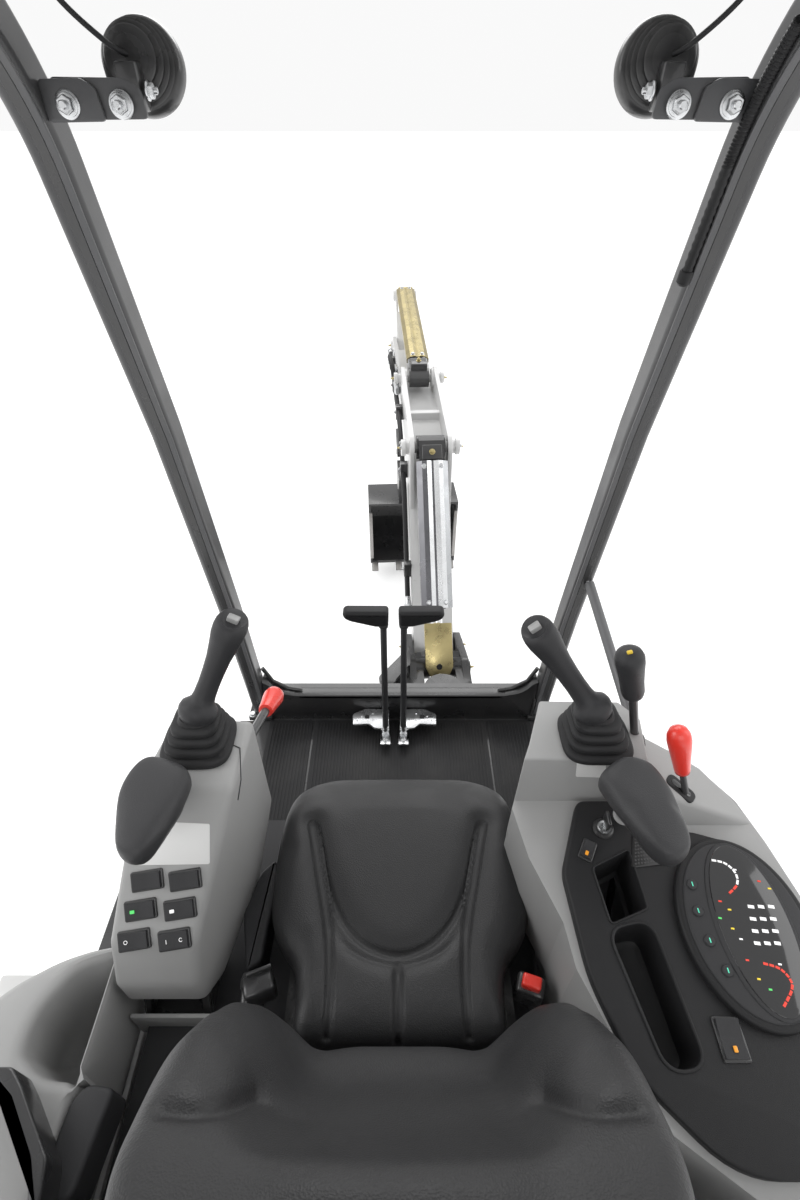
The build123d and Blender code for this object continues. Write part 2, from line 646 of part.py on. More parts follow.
with BuildPart() as light_brackets:
    for sx in (1, -1):
        prism(xz(318), [(sx * 399, U + 2046), (sx * 399, U + 2086), (sx * 318, U + 2084), (sx * 290, U + 2078),
                        (sx * 290, U + 2050), (sx * 340, U + 2046)], 6)
light_brackets.part.label = "light_brackets"

with BuildPart() as work_lights:
    for sx in (1, -1):
        lamp = Plane(origin=(sx * 302, Y0 + 342, U + 2104), x_dir=(1, 0, 0), z_dir=(0, 12, 67))
        with BuildSketch(lamp) as s:
            with BuildLine():
                Polyline((0, 0), (28, 0), (38, 7), (47, 30), (47, 54), (0, 54), close=True)
            make_face()
        revolve(axis=Axis((sx * 302, Y0 + 342, U + 2104), (0, 67, -12)))
        block((sx * 302 - 11, sx * 302 + 11), (318, 356), (U + 2054, U + 2100))
work_lights.part.label = "work_lights"

with BuildPart() as post_strut:
    rod3((430, Y0 + 484 + 24, U + 1223), (478, Y0 + 146, U + 1076), 11)
post_strut.part.label = "post_strut"

# ================================================================ seat
with BuildPart() as seat_base:
    block((-195, 195), (-290, 120), (946, 968))
    block((-150, 150), (-250, 90), (967, U + 912))
    for x in (-241, 233):
        prism(yz(x), [(-365, 950), (-365, U + 1045), (-325, U + 1045), (-230, 975), (-230, 950)], 8)
    block((-241, 241), (-360, -290), (950, 960))
    block((-195, 195), (-295, -285), (950, 962))
    # pivots of the backrest
    for x in (-246, 230):
        disc(yz(x), (-335, U + 1030), 13, 16)
seat_base.part.label = "seat_base"

with BuildPart() as seat_cushion:
    with BuildSketch(xy(U + 913)) as s:
        with Locations((0, -78)):
            RectangleRounded(460, 486, 70)
    extrude(to_extrude=s.sketch, amount=112)
    block((-232, 232), (-330, -285), (U + 905, U + 1030), Mode.SUBTRACT)
seat_cushion.part.label = "seat_cushion"

with BuildPart() as seat_backrest:
    prism(yz(-228), [(-292, U + 1032), (-340, U + 1120), (-498, U + 1460), (-530, U + 1480), (-585, U + 1475),
                     (-598, U + 1440), (-440, U + 1060), (-380, U + 1010), (-300, U + 1018)], 456)
    fillet(seat_backrest.edges().filter_by(Axis.X).sort_by(Axis.Z)[-4:], 16)
    # side wings, from the shoulders down to the cushion
    for x in (-228, 118):
        prism(yz(x), [(-268, U + 1040), (-262, U + 1120), (-285, U + 1240), (-318, U + 1307), (-352, U + 1366),
                      (-400, U + 1410), (-446, U + 1450), (-500, U + 1462), (-500, U + 1300), (-430, U + 1080),
                      (-330, U + 1030)], 110)
seat_backrest.part.label = "seat_backrest"

# ================================================================ swing post
with BuildPart() as swing_post:
    # hub between the ears
    with BuildSketch(Plane(origin=bw(0, 483))) as s:
        Circle(68)
    extrude(to_extrude=s.sketch, amount=86)
    for n0 in (-110, 58):
        prism(Plane(origin=bw(0, 486), x_dir=(-sin(SWING), cos(SWING), 0), z_dir=(0, 0, 1)),
              [(0, -n0 - 52), (0, -n0), (210, -n0), (210, -n0 - 52)], 78)
    # cheeks
    for n0 in (-110, 83):
        strap(bp(n0), (150, U + 449), BF, 44, 50, 27)
        prism(bp(n0), [(60, 486), (60, 564), (150, U + 493), (340, U + 430), (340, U + 331), (200, U + 350), (100, 486)], 27)
    # web ahead of the hub
    prism(bp(-110), [(205, U + 350), (205, U + 392), (272, U + 392), (272, U + 342)], 220)
    # bosses for the cylinder pin
    for n0 in (-83.5, 34):
        disc(bp(n0), CF, 38, 49.5)
    disc(bp(-118), CF, 22, 8)
    disc(bp(110), CF, 22, 8)
    # boom foot pin
    disc(bp(-120), BF, 22, 240)
    # lug for the swing cylinder, left
    for z0 in (555, 602):
        with BuildSketch(xy(z0)) as s:
            with Locations((SWT[0], SWT[1])):
                Circle(30)
            with BuildLine():
                Polyline((SWT[0] - 22, SWT[1] + 18), (SWT[0] + 14, SWT[1] - 26), (XS - 112, YS + 100), (XS - 112, YS + 190), close=True)
            make_face()
        extrude(to_extrude=s.sketch, amount=14)
    prism(bp(-128), [(95, 500), (95, 616), (190, 616), (215, 500)], 20)
    with BuildSketch(Plane(origin=bw(0, 470))) as s:
        Circle(30.5)
    extrude(to_extrude=s.sketch, amount=140, mode=Mode.SUBTRACT)
swing_post.part.label = "swing_post"

with BuildPart() as swing_cylinder_barrel:
    b, t = Vector(SWB[0], Y0 + SWB[1], SWB[2]), Vector(SWT[0], Y0 + SWT[1], SWT[2])
    e = (t - b).normalized()
    rod3(b, b + e * 440, 28)
    disc(xy(566), (SWB[0], SWB[1]), 30, 44)
    rod3(b + e * 72, b + e * 441, 14.5, Mode.SUBTRACT)
    disc(xy(540), (SWB[0], SWB[1]), 14.4, 100, Mode.SUBTRACT)
swing_cylinder_barrel.part.label = "swing_cylinder_barrel"

with BuildPart() as swing_cylinder_rod:
    rod3(b + e * 264, t, 14)
    disc(xy(573), (SWT[0], SWT[1]), 26, 26)
swing_cylinder_rod.part.label = "swing_cylinder_rod"

# ================================================================ boom
with BuildPart() as boom:
    prism(bp(-BOOM_HALF), [(310, U + 415), (450, U + 610), (640, U + 910), (700, U + 985), (800, U + 1045), (950, U + 1076),
                           (1300, U + 1080), (2035, U + 1072), (2100, U + 1040), (2108, U + 1010), (2080, U + 968),
                           (1800, U + 958), (1300, U + 914), (1150, U + 894), (1020, U + 818), (820, U + 646),
                           (560, U + 400), (380, U + 332)], 2 * BOOM_HALF)
    disc(bp(-BOOM_HALF), BF, 48, 2 * BOOM_HALF)
    # side plates from the boom cylinder's pin to the arm cylinder's base
    for n0 in (-BOOM_HALF, BOOM_HALF - 17):
        strap(bp(n0), CT, AB, 50, 46, 17)
        prism(bp(n0), [(600, U + 860), (630, U + 1080), (1266, U + 1150), (1330, U + 1070), (900, U + 900)], 17)
    for n0 in (-BOOM_HALF, 52):
        disc(bp(n0), AB, 40, 26)
    # cross plate
    prism(bp(-70), [(930, U + 1060), (930, U + 1100), (955, U + 1104), (970, U + 1064)], 140)
    # pin heads
    for c, r, n0 in ((CT, 30, 92), (CT, 30, -108), (AB, 24, 92), (AB, 24, -108)):
        disc(bp(n0), c, r, 16)
        disc(bp(77 if n0 > 0 else -93), c, r * 0.8, 16)
    # pins of the two cylinders' bases
    disc(bp(-70), CT, 20, 140)
    disc(bp(-70), AB, 18, 140)
    # fork for the arm
    prism(bp(-55), [(1800, U + 900), (1800, U + 1100), (2150, U + 1100), (2150, U + 900)], 110, Mode.SUBTRACT)
    disc(bp(-BOOM_HALF - 8), BT, 26, 2 * BOOM_HALF + 16)
    # the foot's bore
    disc(bp(-100), BF, 22.4, 200, Mode.SUBTRACT)
boom.part.label = "boom"

with BuildPart() as boom_cylinder_barrel:
    barrel(CT, CF, 38, 600, 22.5, 330, 42, 104, 20.4)
    prism(bp(-46), [along(CT, CF, -30, -30), along(CT, CF, 60, -38), along(CT, CF, 60, -58), along(CT, CF, -10, -54)], 92)
boom_cylinder_barrel.part.label = "boom_cylinder_barrel"

with BuildPart() as boom_cylinder_guard:
    # folded plate on the operator's side of the barrel
    with BuildSketch(Plane(origin=bw(*along(CT, CF, 64)), x_dir=(cos(SWING), sin(SWING), 0),
                           z_dir=(bw(*CF) - bw(*CT)).normalized())) as s:
        with BuildLine():
            Polyline((-57, 30), (-57, 48), (-40, 60), (-16, 64), (0, 60), (16, 64), (40, 60), (57, 48), (57, 30),
                     (52, 30), (52, 46), (38, 55), (16, 59), (0, 55), (-16, 59), (-38, 55), (-52, 46), (-52, 30), close=True)
        make_face()
    extrude(to_extrude=s.sketch, amount=532)
boom_cylinder_guard.part.label = "boom_cylinder_guard"

with BuildPart() as boom_cylinder_rod:
    ram(CT, CF, 22, 430, 36, 60)
boom_cylinder_rod.part.label = "boom_cylinder_rod"

# ================================================================ arm
with BuildPart() as arm:
    prism(bp(-50), [A(-150, -74), A(-60, -62), A(0, -58), A(150, -45), A(300, -74), A(450, -72), A(600, -60), A(780, -40),
                    A(809, -36), A(845, 0), A(809, 33), A(600, 33), A(395, 40), A(150, 60), A(100, 68), A(60, 78), A(-20, 78), A(-70, 60),
                    A(-150, 10)], 100)
    disc(bp(-50), BT, 60, 100)
    # lugs of the arm cylinder
    for n0 in (-50, 41):
        strap(bp(n0), (BT[0], BT[1]), AL, 58, 38, 9)
    for n0 in (-62, 50):
        disc(bp(n0), AL, 30, 12)
    # clevis of the bucket cylinder
    for n0 in (-50, 34):
        disc(bp(n0), BB, 34, 16)
        prism(bp(n0), [A(-40, 60), A(-14, 124), A(54, 124), A(110, 60)], 16)
    disc(bp(-56), BB, 16, 112)
    # lever pin
    disc(bp(-82), LM, 15, 164)
    # bucket pin
    disc(bp(-82), BO, 18, 164)
    # bore for the boom's pin
    disc(bp(-100), BT, 26.4, 200, Mode.SUBTRACT)
arm.part.label = "arm"

with BuildPart() as arm_cylinder_barrel:
    barrel(AB, AL, 40, 545, 20.5, 485, 38, 84, 18.4)
arm_cylinder_barrel.part.label = "arm_cylinder_barrel"

with BuildPart() as arm_cylinder_rod:
    ram(AB, AL, 20, 490, 34, 74)
    prism(bp(-37), [along(AL, AB, 0, -34), along(AL, AB, 62, -34), along(AL, AB, 62, 34), along(AL, AB, 0, 34)], 74)
arm_cylinder_rod.part.label = "arm_cylinder_rod"

with BuildPart() as arm_cylinder_guard:
    with BuildSketch(Plane(origin=bw(*along(AL, AB, 64)), x_dir=(cos(SWING), sin(SWING), 0),
                           z_dir=(bw(*AB) - bw(*AL)).normalized())) as s:
        with BuildLine():
            Polyline((-48, 32), (-48, 50), (-34, 60), (-14, 64), (0, 60), (14, 64), (34, 60), (48, 50), (48, 32),
                     (44, 32), (44, 48), (32, 56), (14, 60), (0, 56), (-14, 60), (-32, 56), (-44, 48), (-44, 32), close=True)
        make_face()
    extrude(to_extrude=s.sketch, amount=880)
    # foot that bolts it to the rod's end
    prism(bp(-37), [along(AL, AB, 63, -34), along(AL, AB, 66, -34), along(AL, AB, 66, -58), along(AL, AB, 63, -58)], 74)
arm_cylinder_guard.part.label = "arm_cylinder_guard"

# ================================================================ bucket and its linkage
with BuildPart() as bucket:
    prism(bp(-BUCKET_HALF), [(1385, 505), (1600, 505), (1690, 440), (1725, 340), (1705, 235), (1630, 160), (1520, 122),
                             (1400, 108)], 2 * BUCKET_HALF)
    prism(bp(-BUCKET_HALF + 12), [(1370, 493), (1595, 493), (1680, 433), (1713, 340), (1694, 241), (1624, 171), (1518, 136),
                                  (1370, 124)], 2 * BUCKET_HALF - 24, Mode.SUBTRACT)
    # ears
    for n0 in (-77, 55):
        strap(bp(n0), BO, LP, 40, 34, 22)
        prism(bp(n0), [(BO[0] - 40, BO[1]), (1400, 500), (1640, 480), (LP[0] + 34, LP[1])], 22)
        disc(bp(n0 - 1), BO, 18.4, 24, Mode.SUBTRACT)
    # teeth
    for n0 in (-232, -97, 62, 197):
        prism(bp(n0), [(1440, 108), (1440, 128), (1396, 124), (1350, 92), (1352, 86), (1400, 104)], 35)
bucket.part.label = "bucket"

with BuildPart() as bucket_levers:
    for n0 in (-77, 55):
        strap(bp(n0), LM, LN, 28, 28, 22)
        disc(bp(n0 - 1), LM, 15.4, 24, Mode.SUBTRACT)
    for n0 in (-56, 28):
        disc(bp(n0), LN, 14, 28)
bucket_levers.part.label = "bucket_levers"

with BuildPart() as bucket_link:
    for n0 in (-50, 30):
        strap(bp(n0), LN, LP, 26, 26, 20)
        disc(bp(n0 - 1), LN, 14.4, 22, Mode.SUBTRACT)
    prism(bp(-31), [along(LN, LP, 70, -20), along(LN, LP, 120, -20), along(LN, LP, 120, 20), along(LN, LP, 70, 20)], 62)
bucket_link.part.label = "bucket_link"

with BuildPart() as bucket_cylinder_barrel:
    barrel(BB, LN, 33, 395, 17.5, 345, 32, 60, 16.4)
bucket_cylinder_barrel.part.label = "bucket_cylinder_barrel"

with BuildPart() as bucket_cylinder_rod:
    ram(BB, LN, 17, 70, 26, 48)
bucket_cylinder_rod.part.label = "bucket_cylinder_rod"

# ---------------------------------------------------------------- write every piece
export_step(track_left.part, "parts/track_left.step")
export_step(track_right.part, "parts/track_right.step")
export_step(undercarriage_frame.part, "parts/undercarriage_frame.step")
export_step(slew_ring.part, "parts/slew_ring.step")
export_step(final_drives.part, "parts/final_drives.step")
export_step(idlers.part, "parts/idlers.step")
export_step(track_rollers.part, "parts/track_rollers.step")
export_step(dozer_blade.part, "parts/dozer_blade.step")
export_step(blade_cylinder_barrel.part, "parts/blade_cylinder_barrel.step")
export_step(blade_cylinder_rod.part, "parts/blade_cylinder_rod.step")
export_step(house_frame.part, "parts/house_frame.step")
export_step(counterweight.part, "parts/counterweight.step")
export_step(engine_block.part, "parts/engine_block.step")
export_step(seat_box.part, "parts/seat_box.step")
export_step(side_covers.part, "parts/side_covers.step")
export_step(storage_tub.part, "parts/storage_tub.step")
export_step(rear_shrouds.part, "parts/rear_shrouds.step")
export_step(engine_hood.part, "parts/engine_hood.step")
export_step(floor_mat.part, "parts/floor_mat.step")
export_step(front_bar.part, "parts/front_bar.step")
export_step(front_posts.part, "parts/front_posts.step")
export_step(rear_posts.part, "parts/rear_posts.step")
export_step(roof_rails.part, "parts/roof_rails.step")
export_step(canopy_roof.part, "parts/canopy_roof.step")
export_step(right_console.part, "parts/right_console.step")
export_step(control_panel.part, "parts/control_panel.step")
export_step(instrument_cluster.part, "parts/instrument_cluster.step")
export_step(right_joystick.part, "parts/right_joystick.step")
export_step(right_wrist_rest.part, "parts/right_wrist_rest.step")
export_step(right_levers.part, "parts/right_levers.step")
export_step(left_console.part, "parts/left_console.step")
export_step(console_bracket.part, "parts/console_bracket.step")
export_step(left_switches.part, "parts/left_switches.step")
export_step(left_joystick.part, "parts/left_joystick.step")
export_step(left_wrist_rest.part, "parts/left_wrist_rest.step")
export_step(safety_lever.part, "parts/safety_lever.step")
export_step(travel_levers.part, "parts/travel_levers.step")
export_step(travel_pedals.part, "parts/travel_pedals.step")
export_step(light_brackets.part, "parts/light_brackets.step")
export_step(work_lights.part, "parts/work_lights.step")
export_step(post_strut.part, "parts/post_strut.step")
export_step(seat_base.part, "parts/seat_base.step")
export_step(seat_cushion.part, "parts/seat_cushion.step")
export_step(seat_backrest.part, "parts/seat_backrest.step")
export_step(swing_post.part, "parts/swing_post.step")
export_step(swing_cylinder_barrel.part, "parts/swing_cylinder_barrel.step")
export_step(swing_cylinder_rod.part, "parts/swing_cylinder_rod.step")
export_step(boom.part, "parts/boom.step")
export_step(boom_cylinder_barrel.part, "parts/boom_cylinder_barrel.step")
export_step(boom_cylinder_guard.part, "parts/boom_cylinder_guard.step")
export_step(boom_cylinder_rod.part, "parts/boom_cylinder_rod.step")
export_step(arm.part, "parts/arm.step")
export_step(arm_cylinder_barrel.part, "parts/arm_cylinder_barrel.step")
export_step(arm_cylinder_rod.part, "parts/arm_cylinder_rod.step")
export_step(arm_cylinder_guard.part, "parts/arm_cylinder_guard.step")
export_step(bucket.part, "parts/bucket.step")
export_step(bucket_levers.part, "parts/bucket_levers.step")
export_step(bucket_link.part, "parts/bucket_link.step")
export_step(bucket_cylinder_barrel.part, "parts/bucket_cylinder_barrel.step")
export_step(bucket_cylinder_rod.part, "parts/bucket_cylinder_rod.step")
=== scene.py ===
import bpy, bmesh, math, random
from math import sin, cos, radians, pi, hypot, atan2, sqrt
from mathutils import Vector, Matrix, Euler


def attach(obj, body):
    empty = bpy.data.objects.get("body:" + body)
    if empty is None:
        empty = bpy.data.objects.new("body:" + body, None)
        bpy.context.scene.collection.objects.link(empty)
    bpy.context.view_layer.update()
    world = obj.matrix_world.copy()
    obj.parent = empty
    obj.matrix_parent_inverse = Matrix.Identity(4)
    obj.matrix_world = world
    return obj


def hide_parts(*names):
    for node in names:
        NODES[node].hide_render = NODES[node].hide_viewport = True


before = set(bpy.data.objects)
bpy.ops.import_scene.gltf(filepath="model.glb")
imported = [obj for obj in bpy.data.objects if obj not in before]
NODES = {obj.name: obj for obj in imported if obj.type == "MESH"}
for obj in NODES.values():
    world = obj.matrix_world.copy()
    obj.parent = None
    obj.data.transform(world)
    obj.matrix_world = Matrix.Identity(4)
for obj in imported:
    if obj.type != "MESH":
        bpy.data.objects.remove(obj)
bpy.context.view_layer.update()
random.seed(7)

# ------------------------------------------------------------------ frame
Y0 = -0.85363          # slew axis in the row frame
U = 0.090
SW = radians(3.18)
XS, YS = 0.1493, 0.830
F = 0.710              # floor top


def W(x, y, z):
    """Machine coordinates in mm to the row frame in metres."""
    return Vector((x / 1000.0, Y0 + y / 1000.0, z / 1000.0))


def B(s, z, n=0.0):
    """Boom plane: s ahead of the swing pin, height z, n to the right, in mm."""
    return Vector(((XS * 1000 + n * cos(SW) - s * sin(SW)) / 1000.0,
                   Y0 + (YS * 1000 + n * sin(SW) + s * cos(SW)) / 1000.0, z / 1000.0))


BN = Vector((cos(SW), sin(SW), 0))
BS = Vector((-sin(SW), cos(SW), 0))
UZ = Vector((0, 0, 1))
CF, CT, BF = (150.0, 539.0), (677.0, 1166.0), (340.5, 470.0)
AB, AL = (1223.0, 1226.0), (2240.0, 1318.0)
BT, BO = (2053.0, 1110.0), (1442.0, 580.0)
ARM_L = hypot(BO[0] - BT[0], BO[1] - BT[1])
AU = ((BO[0] - BT[0]) / ARM_L, (BO[1] - BT[1]) / ARM_L)
AW = (-AU[1], AU[0])


def A(u, w):
    return (BT[0] + u * AU[0] + w * AW[0], BT[1] + u * AU[1] + w * AW[1])


LEVER, LINK, PSI = 160.0, 190.0, radians(150)
LM = A(ARM_L - LINK, 0)
LN = A(ARM_L - LINK + LEVER * cos(PSI), LEVER * sin(PSI))
LP = A(ARM_L + LEVER * cos(PSI), LEVER * sin(PSI))
BB = A(20, 120)


# ------------------------------------------------------------------ materials
def sock(b, name, v):
    if name in b.inputs:
        b.inputs[name].default_value = v


def mat(name, color, rough=0.5, metal=0.0, var=0.06, var_scale=3.0, rvar=0.08, rscale=12.0,
        bump=0.0, bscale=400.0, kind="noise", coat=0.0, coat_rough=0.1, spec=0.5, dust=0.0,
        edge=0.0, stretch=None, sheen=0.0, detail=3.0, bump2=0.0, b2scale=60.0, emit=None, estr=0.0):
    """A node material: colour that varies slightly, roughness that varies, and a fine bump."""
    m = bpy.data.materials.new(name)
    m.use_nodes = True
    nt = m.node_tree
    n, l = nt.nodes, nt.links
    b = n["Principled BSDF"]
    sock(b, "Metallic", metal)
    sock(b, "Coat Weight", coat)
    sock(b, "Coat Roughness", coat_rough)
    sock(b, "Specular IOR Level", spec)
    sock(b, "Sheen Weight", sheen)
    if emit:
        sock(b, "Emission Color", (*emit, 1))
        sock(b, "Emission Strength", estr)
    tc = n.new("ShaderNodeTexCoord")
    src = tc.outputs["Object"]
    if stretch:
        mp = n.new("ShaderNodeMapping")
        mp.inputs["Scale"].default_value = stretch
        l.new(src, mp.inputs["Vector"])
        src = mp.outputs["Vector"]
    # colour
    t1 = n.new("ShaderNodeTexNoise")
    t1.inputs["Scale"].default_value = var_scale
    t1.inputs["Detail"].default_value = 4
    l.new(tc.outputs["Object"], t1.inputs["Vector"])
    ramp = n.new("ShaderNodeValToRGB")
    c = color
    lo = [max(0.0, x * (1 - var)) for x in c]
    hi = [min(1.0, x * (1 + var)) for x in c]
    ramp.color_ramp.elements[0].position = 0.3
    ramp.color_ramp.elements[1].position = 0.7
    ramp.color_ramp.elements[0].color = (*lo, 1)
    ramp.color_ramp.elements[1].color = (*hi, 1)
    l.new(t1.outputs["Fac"], ramp.inputs["Fac"])
    col = ramp.outputs["Color"]
    if edge > 0 or dust > 0:
        geo = n.new("ShaderNodeNewGeometry")
    if edge > 0:
        # painted highlight: convex edges (by pointiness) mixed towards a lighter tint of the base colour
        er = n.new("ShaderNodeValToRGB")
        er.color_ramp.elements[0].position = 0.52
        er.color_ramp.elements[1].position = 0.62
        l.new(geo.outputs["Pointiness"], er.inputs["Fac"])
        em = n.new("ShaderNodeMath")
        em.operation = "MULTIPLY"
        em.inputs[1].default_value = edge
        l.new(er.outputs["Color"], em.inputs[0])
        mx = n.new("ShaderNodeMixRGB")
        mx.inputs["Color2"].default_value = (*[min(1.0, x * 1.5 + 0.12) for x in c], 1)
        l.new(em.outputs[0], mx.inputs["Fac"])
        l.new(col, mx.inputs["Color1"])
        col = mx.outputs["Color"]
    if dust > 0:
        dn = n.new("ShaderNodeTexNoise")
        dn.inputs["Scale"].default_value = 9
        dn.inputs["Detail"].default_value = 8
        l.new(tc.outputs["Object"], dn.inputs["Vector"])
        dr = n.new("ShaderNodeValToRGB")
        dr.color_ramp.elements[0].position = 0.45
        dr.color_ramp.elements[1].position = 0.75
        dr.color_ramp.elements[1].color = (dust, dust, dust, 1)
        l.new(dn.outputs["Fac"], dr.inputs["Fac"])
        dm = n.new("ShaderNodeMixRGB")
        dm.inputs["Color2"].default_value = (0.30, 0.28, 0.25, 1)
        l.new(dr.outputs["Color"], dm.inputs["Fac"])
        l.new(col, dm.inputs["Color1"])
        col = dm.outputs["Color"]
    l.new(col, b.inputs["Base Color"])
    # roughness
    t2 = n.new("ShaderNodeTexNoise")
    t2.inputs["Scale"].default_value = rscale
    t2.inputs["Detail"].default_value = 5
    l.new(src, t2.inputs["Vector"])
    mr = n.new("ShaderNodeMapRange")
    mr.inputs["From Min"].default_value = 0.25
    mr.inputs["From Max"].default_value = 0.75
    mr.inputs["To Min"].default_value = max(0.02, rough - rvar)
    mr.inputs["To Max"].default_value = min(1.0, rough + rvar)
    l.new(t2.outputs["Fac"], mr.inputs["Value"])
    l.new(mr.outputs["Result"], b.inputs["Roughness"])
    # bump
    normal = None
    if bump > 0:
        if kind == "voronoi":
            t3 = n.new("ShaderNodeTexVoronoi")
            t3.inputs["Scale"].default_value = bscale
            h = t3.outputs["Distance"]
            # irregular cells, as in grained hide
            wn = n.new("ShaderNodeTexNoise")
            wn.inputs["Scale"].default_value = bscale * 0.6
            wn.inputs["Detail"].default_value = 2
            l.new(src, wn.inputs["Vector"])
            vm = n.new("ShaderNodeVectorMath")
            vm.operation = "MULTIPLY_ADD"
            vm.inputs[1].default_value = (0.9 / bscale,) * 3
            l.new(wn.outputs["Color"], vm.inputs[0])
            l.new(src, vm.inputs[2])
            l.new(vm.outputs["Vector"], t3.inputs["Vector"])
        else:
            t3 = n.new("ShaderNodeTexNoise")
            t3.inputs["Scale"].default_value = bscale
            t3.inputs["Detail"].default_value = detail
            l.new(src, t3.inputs["Vector"])
            h = t3.outputs["Fac"]
        bp = n.new("ShaderNodeBump")
        bp.inputs["Strength"].default_value = min(1.0, bump)
        bp.inputs["Distance"].default_value = 0.0006
        l.new(h, bp.inputs["Height"])
        normal = bp.outputs["Normal"]
    if bump2 > 0:
        t4 = n.new("ShaderNodeTexNoise")
        t4.inputs["Scale"].default_value = b2scale
        t4.inputs["Detail"].default_value = 2
        l.new(src, t4.inputs["Vector"])
        b2 = n.new("ShaderNodeBump")
        b2.inputs["Strength"].default_value = bump2
        b2.inputs["Distance"].default_value = 0.002
        l.new(t4.outputs["Fac"], b2.inputs["Height"])
        if normal:
            l.new(normal, b2.inputs["Normal"])
        normal = b2.outputs["Normal"]
    if normal:
        l.new(normal, b.inputs["Normal"])
    return m


M = {}
# edge= sets the strength of the painted highlight on convex edges
M["paint"] = mat("white_paint", (0.60, 0.60, 0.596), 0.34, var=0.03, coat=0.3, bump=0.12, bscale=300, dust=0.10, edge=0.15)
M["grey"] = mat("dark_grey_paint", (0.075, 0.076, 0.08), 0.42, var=0.10, bump=0.22, bscale=500, dust=0.06, edge=0.3)
M["post"] = mat("post_paint", (0.058, 0.058, 0.060), 0.36, var=0.05, bump=0.15, bscale=700, coat=0.25)
M["black"] = mat("black_paint", (0.018, 0.018, 0.019), 0.30, var=0.15, bump=0.15, bscale=500, coat=0.3, edge=0.25, dust=0.04)
M["cast"] = mat("casting", (0.045, 0.045, 0.048), 0.55, var=0.15, bump=0.6, bscale=220, bump2=0.2, b2scale=70)
M["rubber"] = mat("track_rubber", (0.028, 0.028, 0.029), 0.78, var=0.2, bump=0.5, bscale=260, dust=0.35)
M["mat"] = mat("floor_rubber", (0.022, 0.022, 0.023), 0.50, var=0.15, bump=0.5, bscale=900, dust=0.04)
M["console"] = mat("grey_plastic", (0.33, 0.33, 0.327), 0.48, var=0.03, bump=0.5, bscale=1500, rvar=0.04)
M["dark_plastic"] = mat("dark_plastic", (0.017, 0.017, 0.018), 0.46, var=0.10, bump=0.5, bscale=1300, rvar=0.05)
M["mid_plastic"] = mat("mid_plastic", (0.034, 0.034, 0.036), 0.46, var=0.08, bump=0.5, bscale=1300, rvar=0.05)
M["boot"] = mat("boot_rubber", (0.024, 0.024, 0.025), 0.55, var=0.12, bump=0.4, bscale=900)
M["vinyl"] = mat("seat_vinyl", (0.026, 0.026, 0.027), 0.43, var=0.08, kind="voronoi", bump=0.55, bscale=520, bump2=0.10, b2scale=26, rvar=0.06)
M["pad"] = mat("pad_vinyl", (0.040, 0.040, 0.042), 0.45, var=0.06, kind="voronoi", bump=0.45, bscale=700, rvar=0.05)
M["chrome"] = mat("hard_chrome", (0.78, 0.78, 0.79), 0.10, 1.0, var=0.02, rvar=0.04, bump=0.05, bscale=600)
M["silver"] = mat("bright_plate", (0.80, 0.81, 0.82), 0.26, 1.0, var=0.05, rvar=0.08, rscale=20, bump=0.12, bscale=180)
M["zinc"] = mat("yellow_zinc", (0.50, 0.42, 0.21), 0.30, 1.0, var=0.08, var_scale=14, rvar=0.10, rscale=30, bump=0.12, bscale=200)
M["steel"] = mat("zinc_steel", (0.62, 0.63, 0.64), 0.28, 1.0, var=0.08, rvar=0.08, rscale=30, bump=0.15, bscale=400)
M["worn"] = mat("worn_steel", (0.33, 0.32, 0.31), 0.42, 1.0, var=0.18, rvar=0.12, rscale=40, bump=0.5, bscale=160)
M["red"] = mat("red_knob", (0.80, 0.045, 0.030), 0.30, var=0.04, coat=0.3, bump=0.08, bscale=700)
M["gloss"] = mat("black_gloss", (0.006, 0.006, 0.007), 0.07, var=0.1, rvar=0.02, coat=0.6, coat_rough=0.03)
M["roof"] = mat("roof_shell", (0.52, 0.52, 0.516), 0.30, var=0.03, coat=0.3, bump=0.2, bscale=500, dust=0.08)
M["hose"] = mat("hose_rubber", (0.022, 0.022, 0.023), 0.50, var=0.15, bump=0.5, bscale=900)
M["decal"] = mat("blank_decal", (0.74, 0.74, 0.73), 0.35, var=0.02, bump=0.05, bscale=900)
M["ink"] = mat("decal_ink", (0.02, 0.02, 0.02), 0.4, var=0.05)
M["lit_w"] = mat("mark_white", (0.85, 0.85, 0.85), 0.4, var=0.02, emit=(0.9, 0.9, 0.9), estr=0.35)
M["lit_r"] = mat("mark_red", (0.75, 0.05, 0.03), 0.4, var=0.02, emit=(0.9, 0.06, 0.03), estr=0.25)
M["lit_y"] = mat("mark_yellow", (0.85, 0.62, 0.04), 0.4, var=0.02, emit=(0.9, 0.65, 0.05), estr=0.3)
M["lit_g"] = mat("mark_green", (0.10, 0.65, 0.15), 0.4, var=0.02, emit=(0.12, 0.8, 0.2), estr=0.3)
M["teal"] = mat("mark_teal", (0.10, 0.62, 0.42), 0.4, var=0.02, emit=(0.1, 0.8, 0.5), estr=0.3)
M["amber"] = mat("amber", (0.80, 0.33, 0.03), 0.35, var=0.04, emit=(0.8, 0.3, 0.02), estr=0.15)
M["yellow"] = mat("yellow_paint", (0.78, 0.55, 0.05), 0.4, var=0.05)
M["lens"] = mat("lamp_lens", (0.70, 0.72, 0.74), 0.08, var=0.03, coat=0.5)
M["stitch"] = mat("stitch_thread", (0.035, 0.035, 0.036), 0.7, var=0.1)
M["belt"] = mat("belt_web", (0.022, 0.022, 0.023), 0.72, var=0.12, bump=0.6, bscale=1200)
M["floor"] = mat("pale_floor", (0.93, 0.93, 0.93), 0.65, var=0.006, var_scale=0.6, rvar=0.03, bump=0.03, bscale=60, emit=(1.0, 1.0, 1.0), estr=0.25)

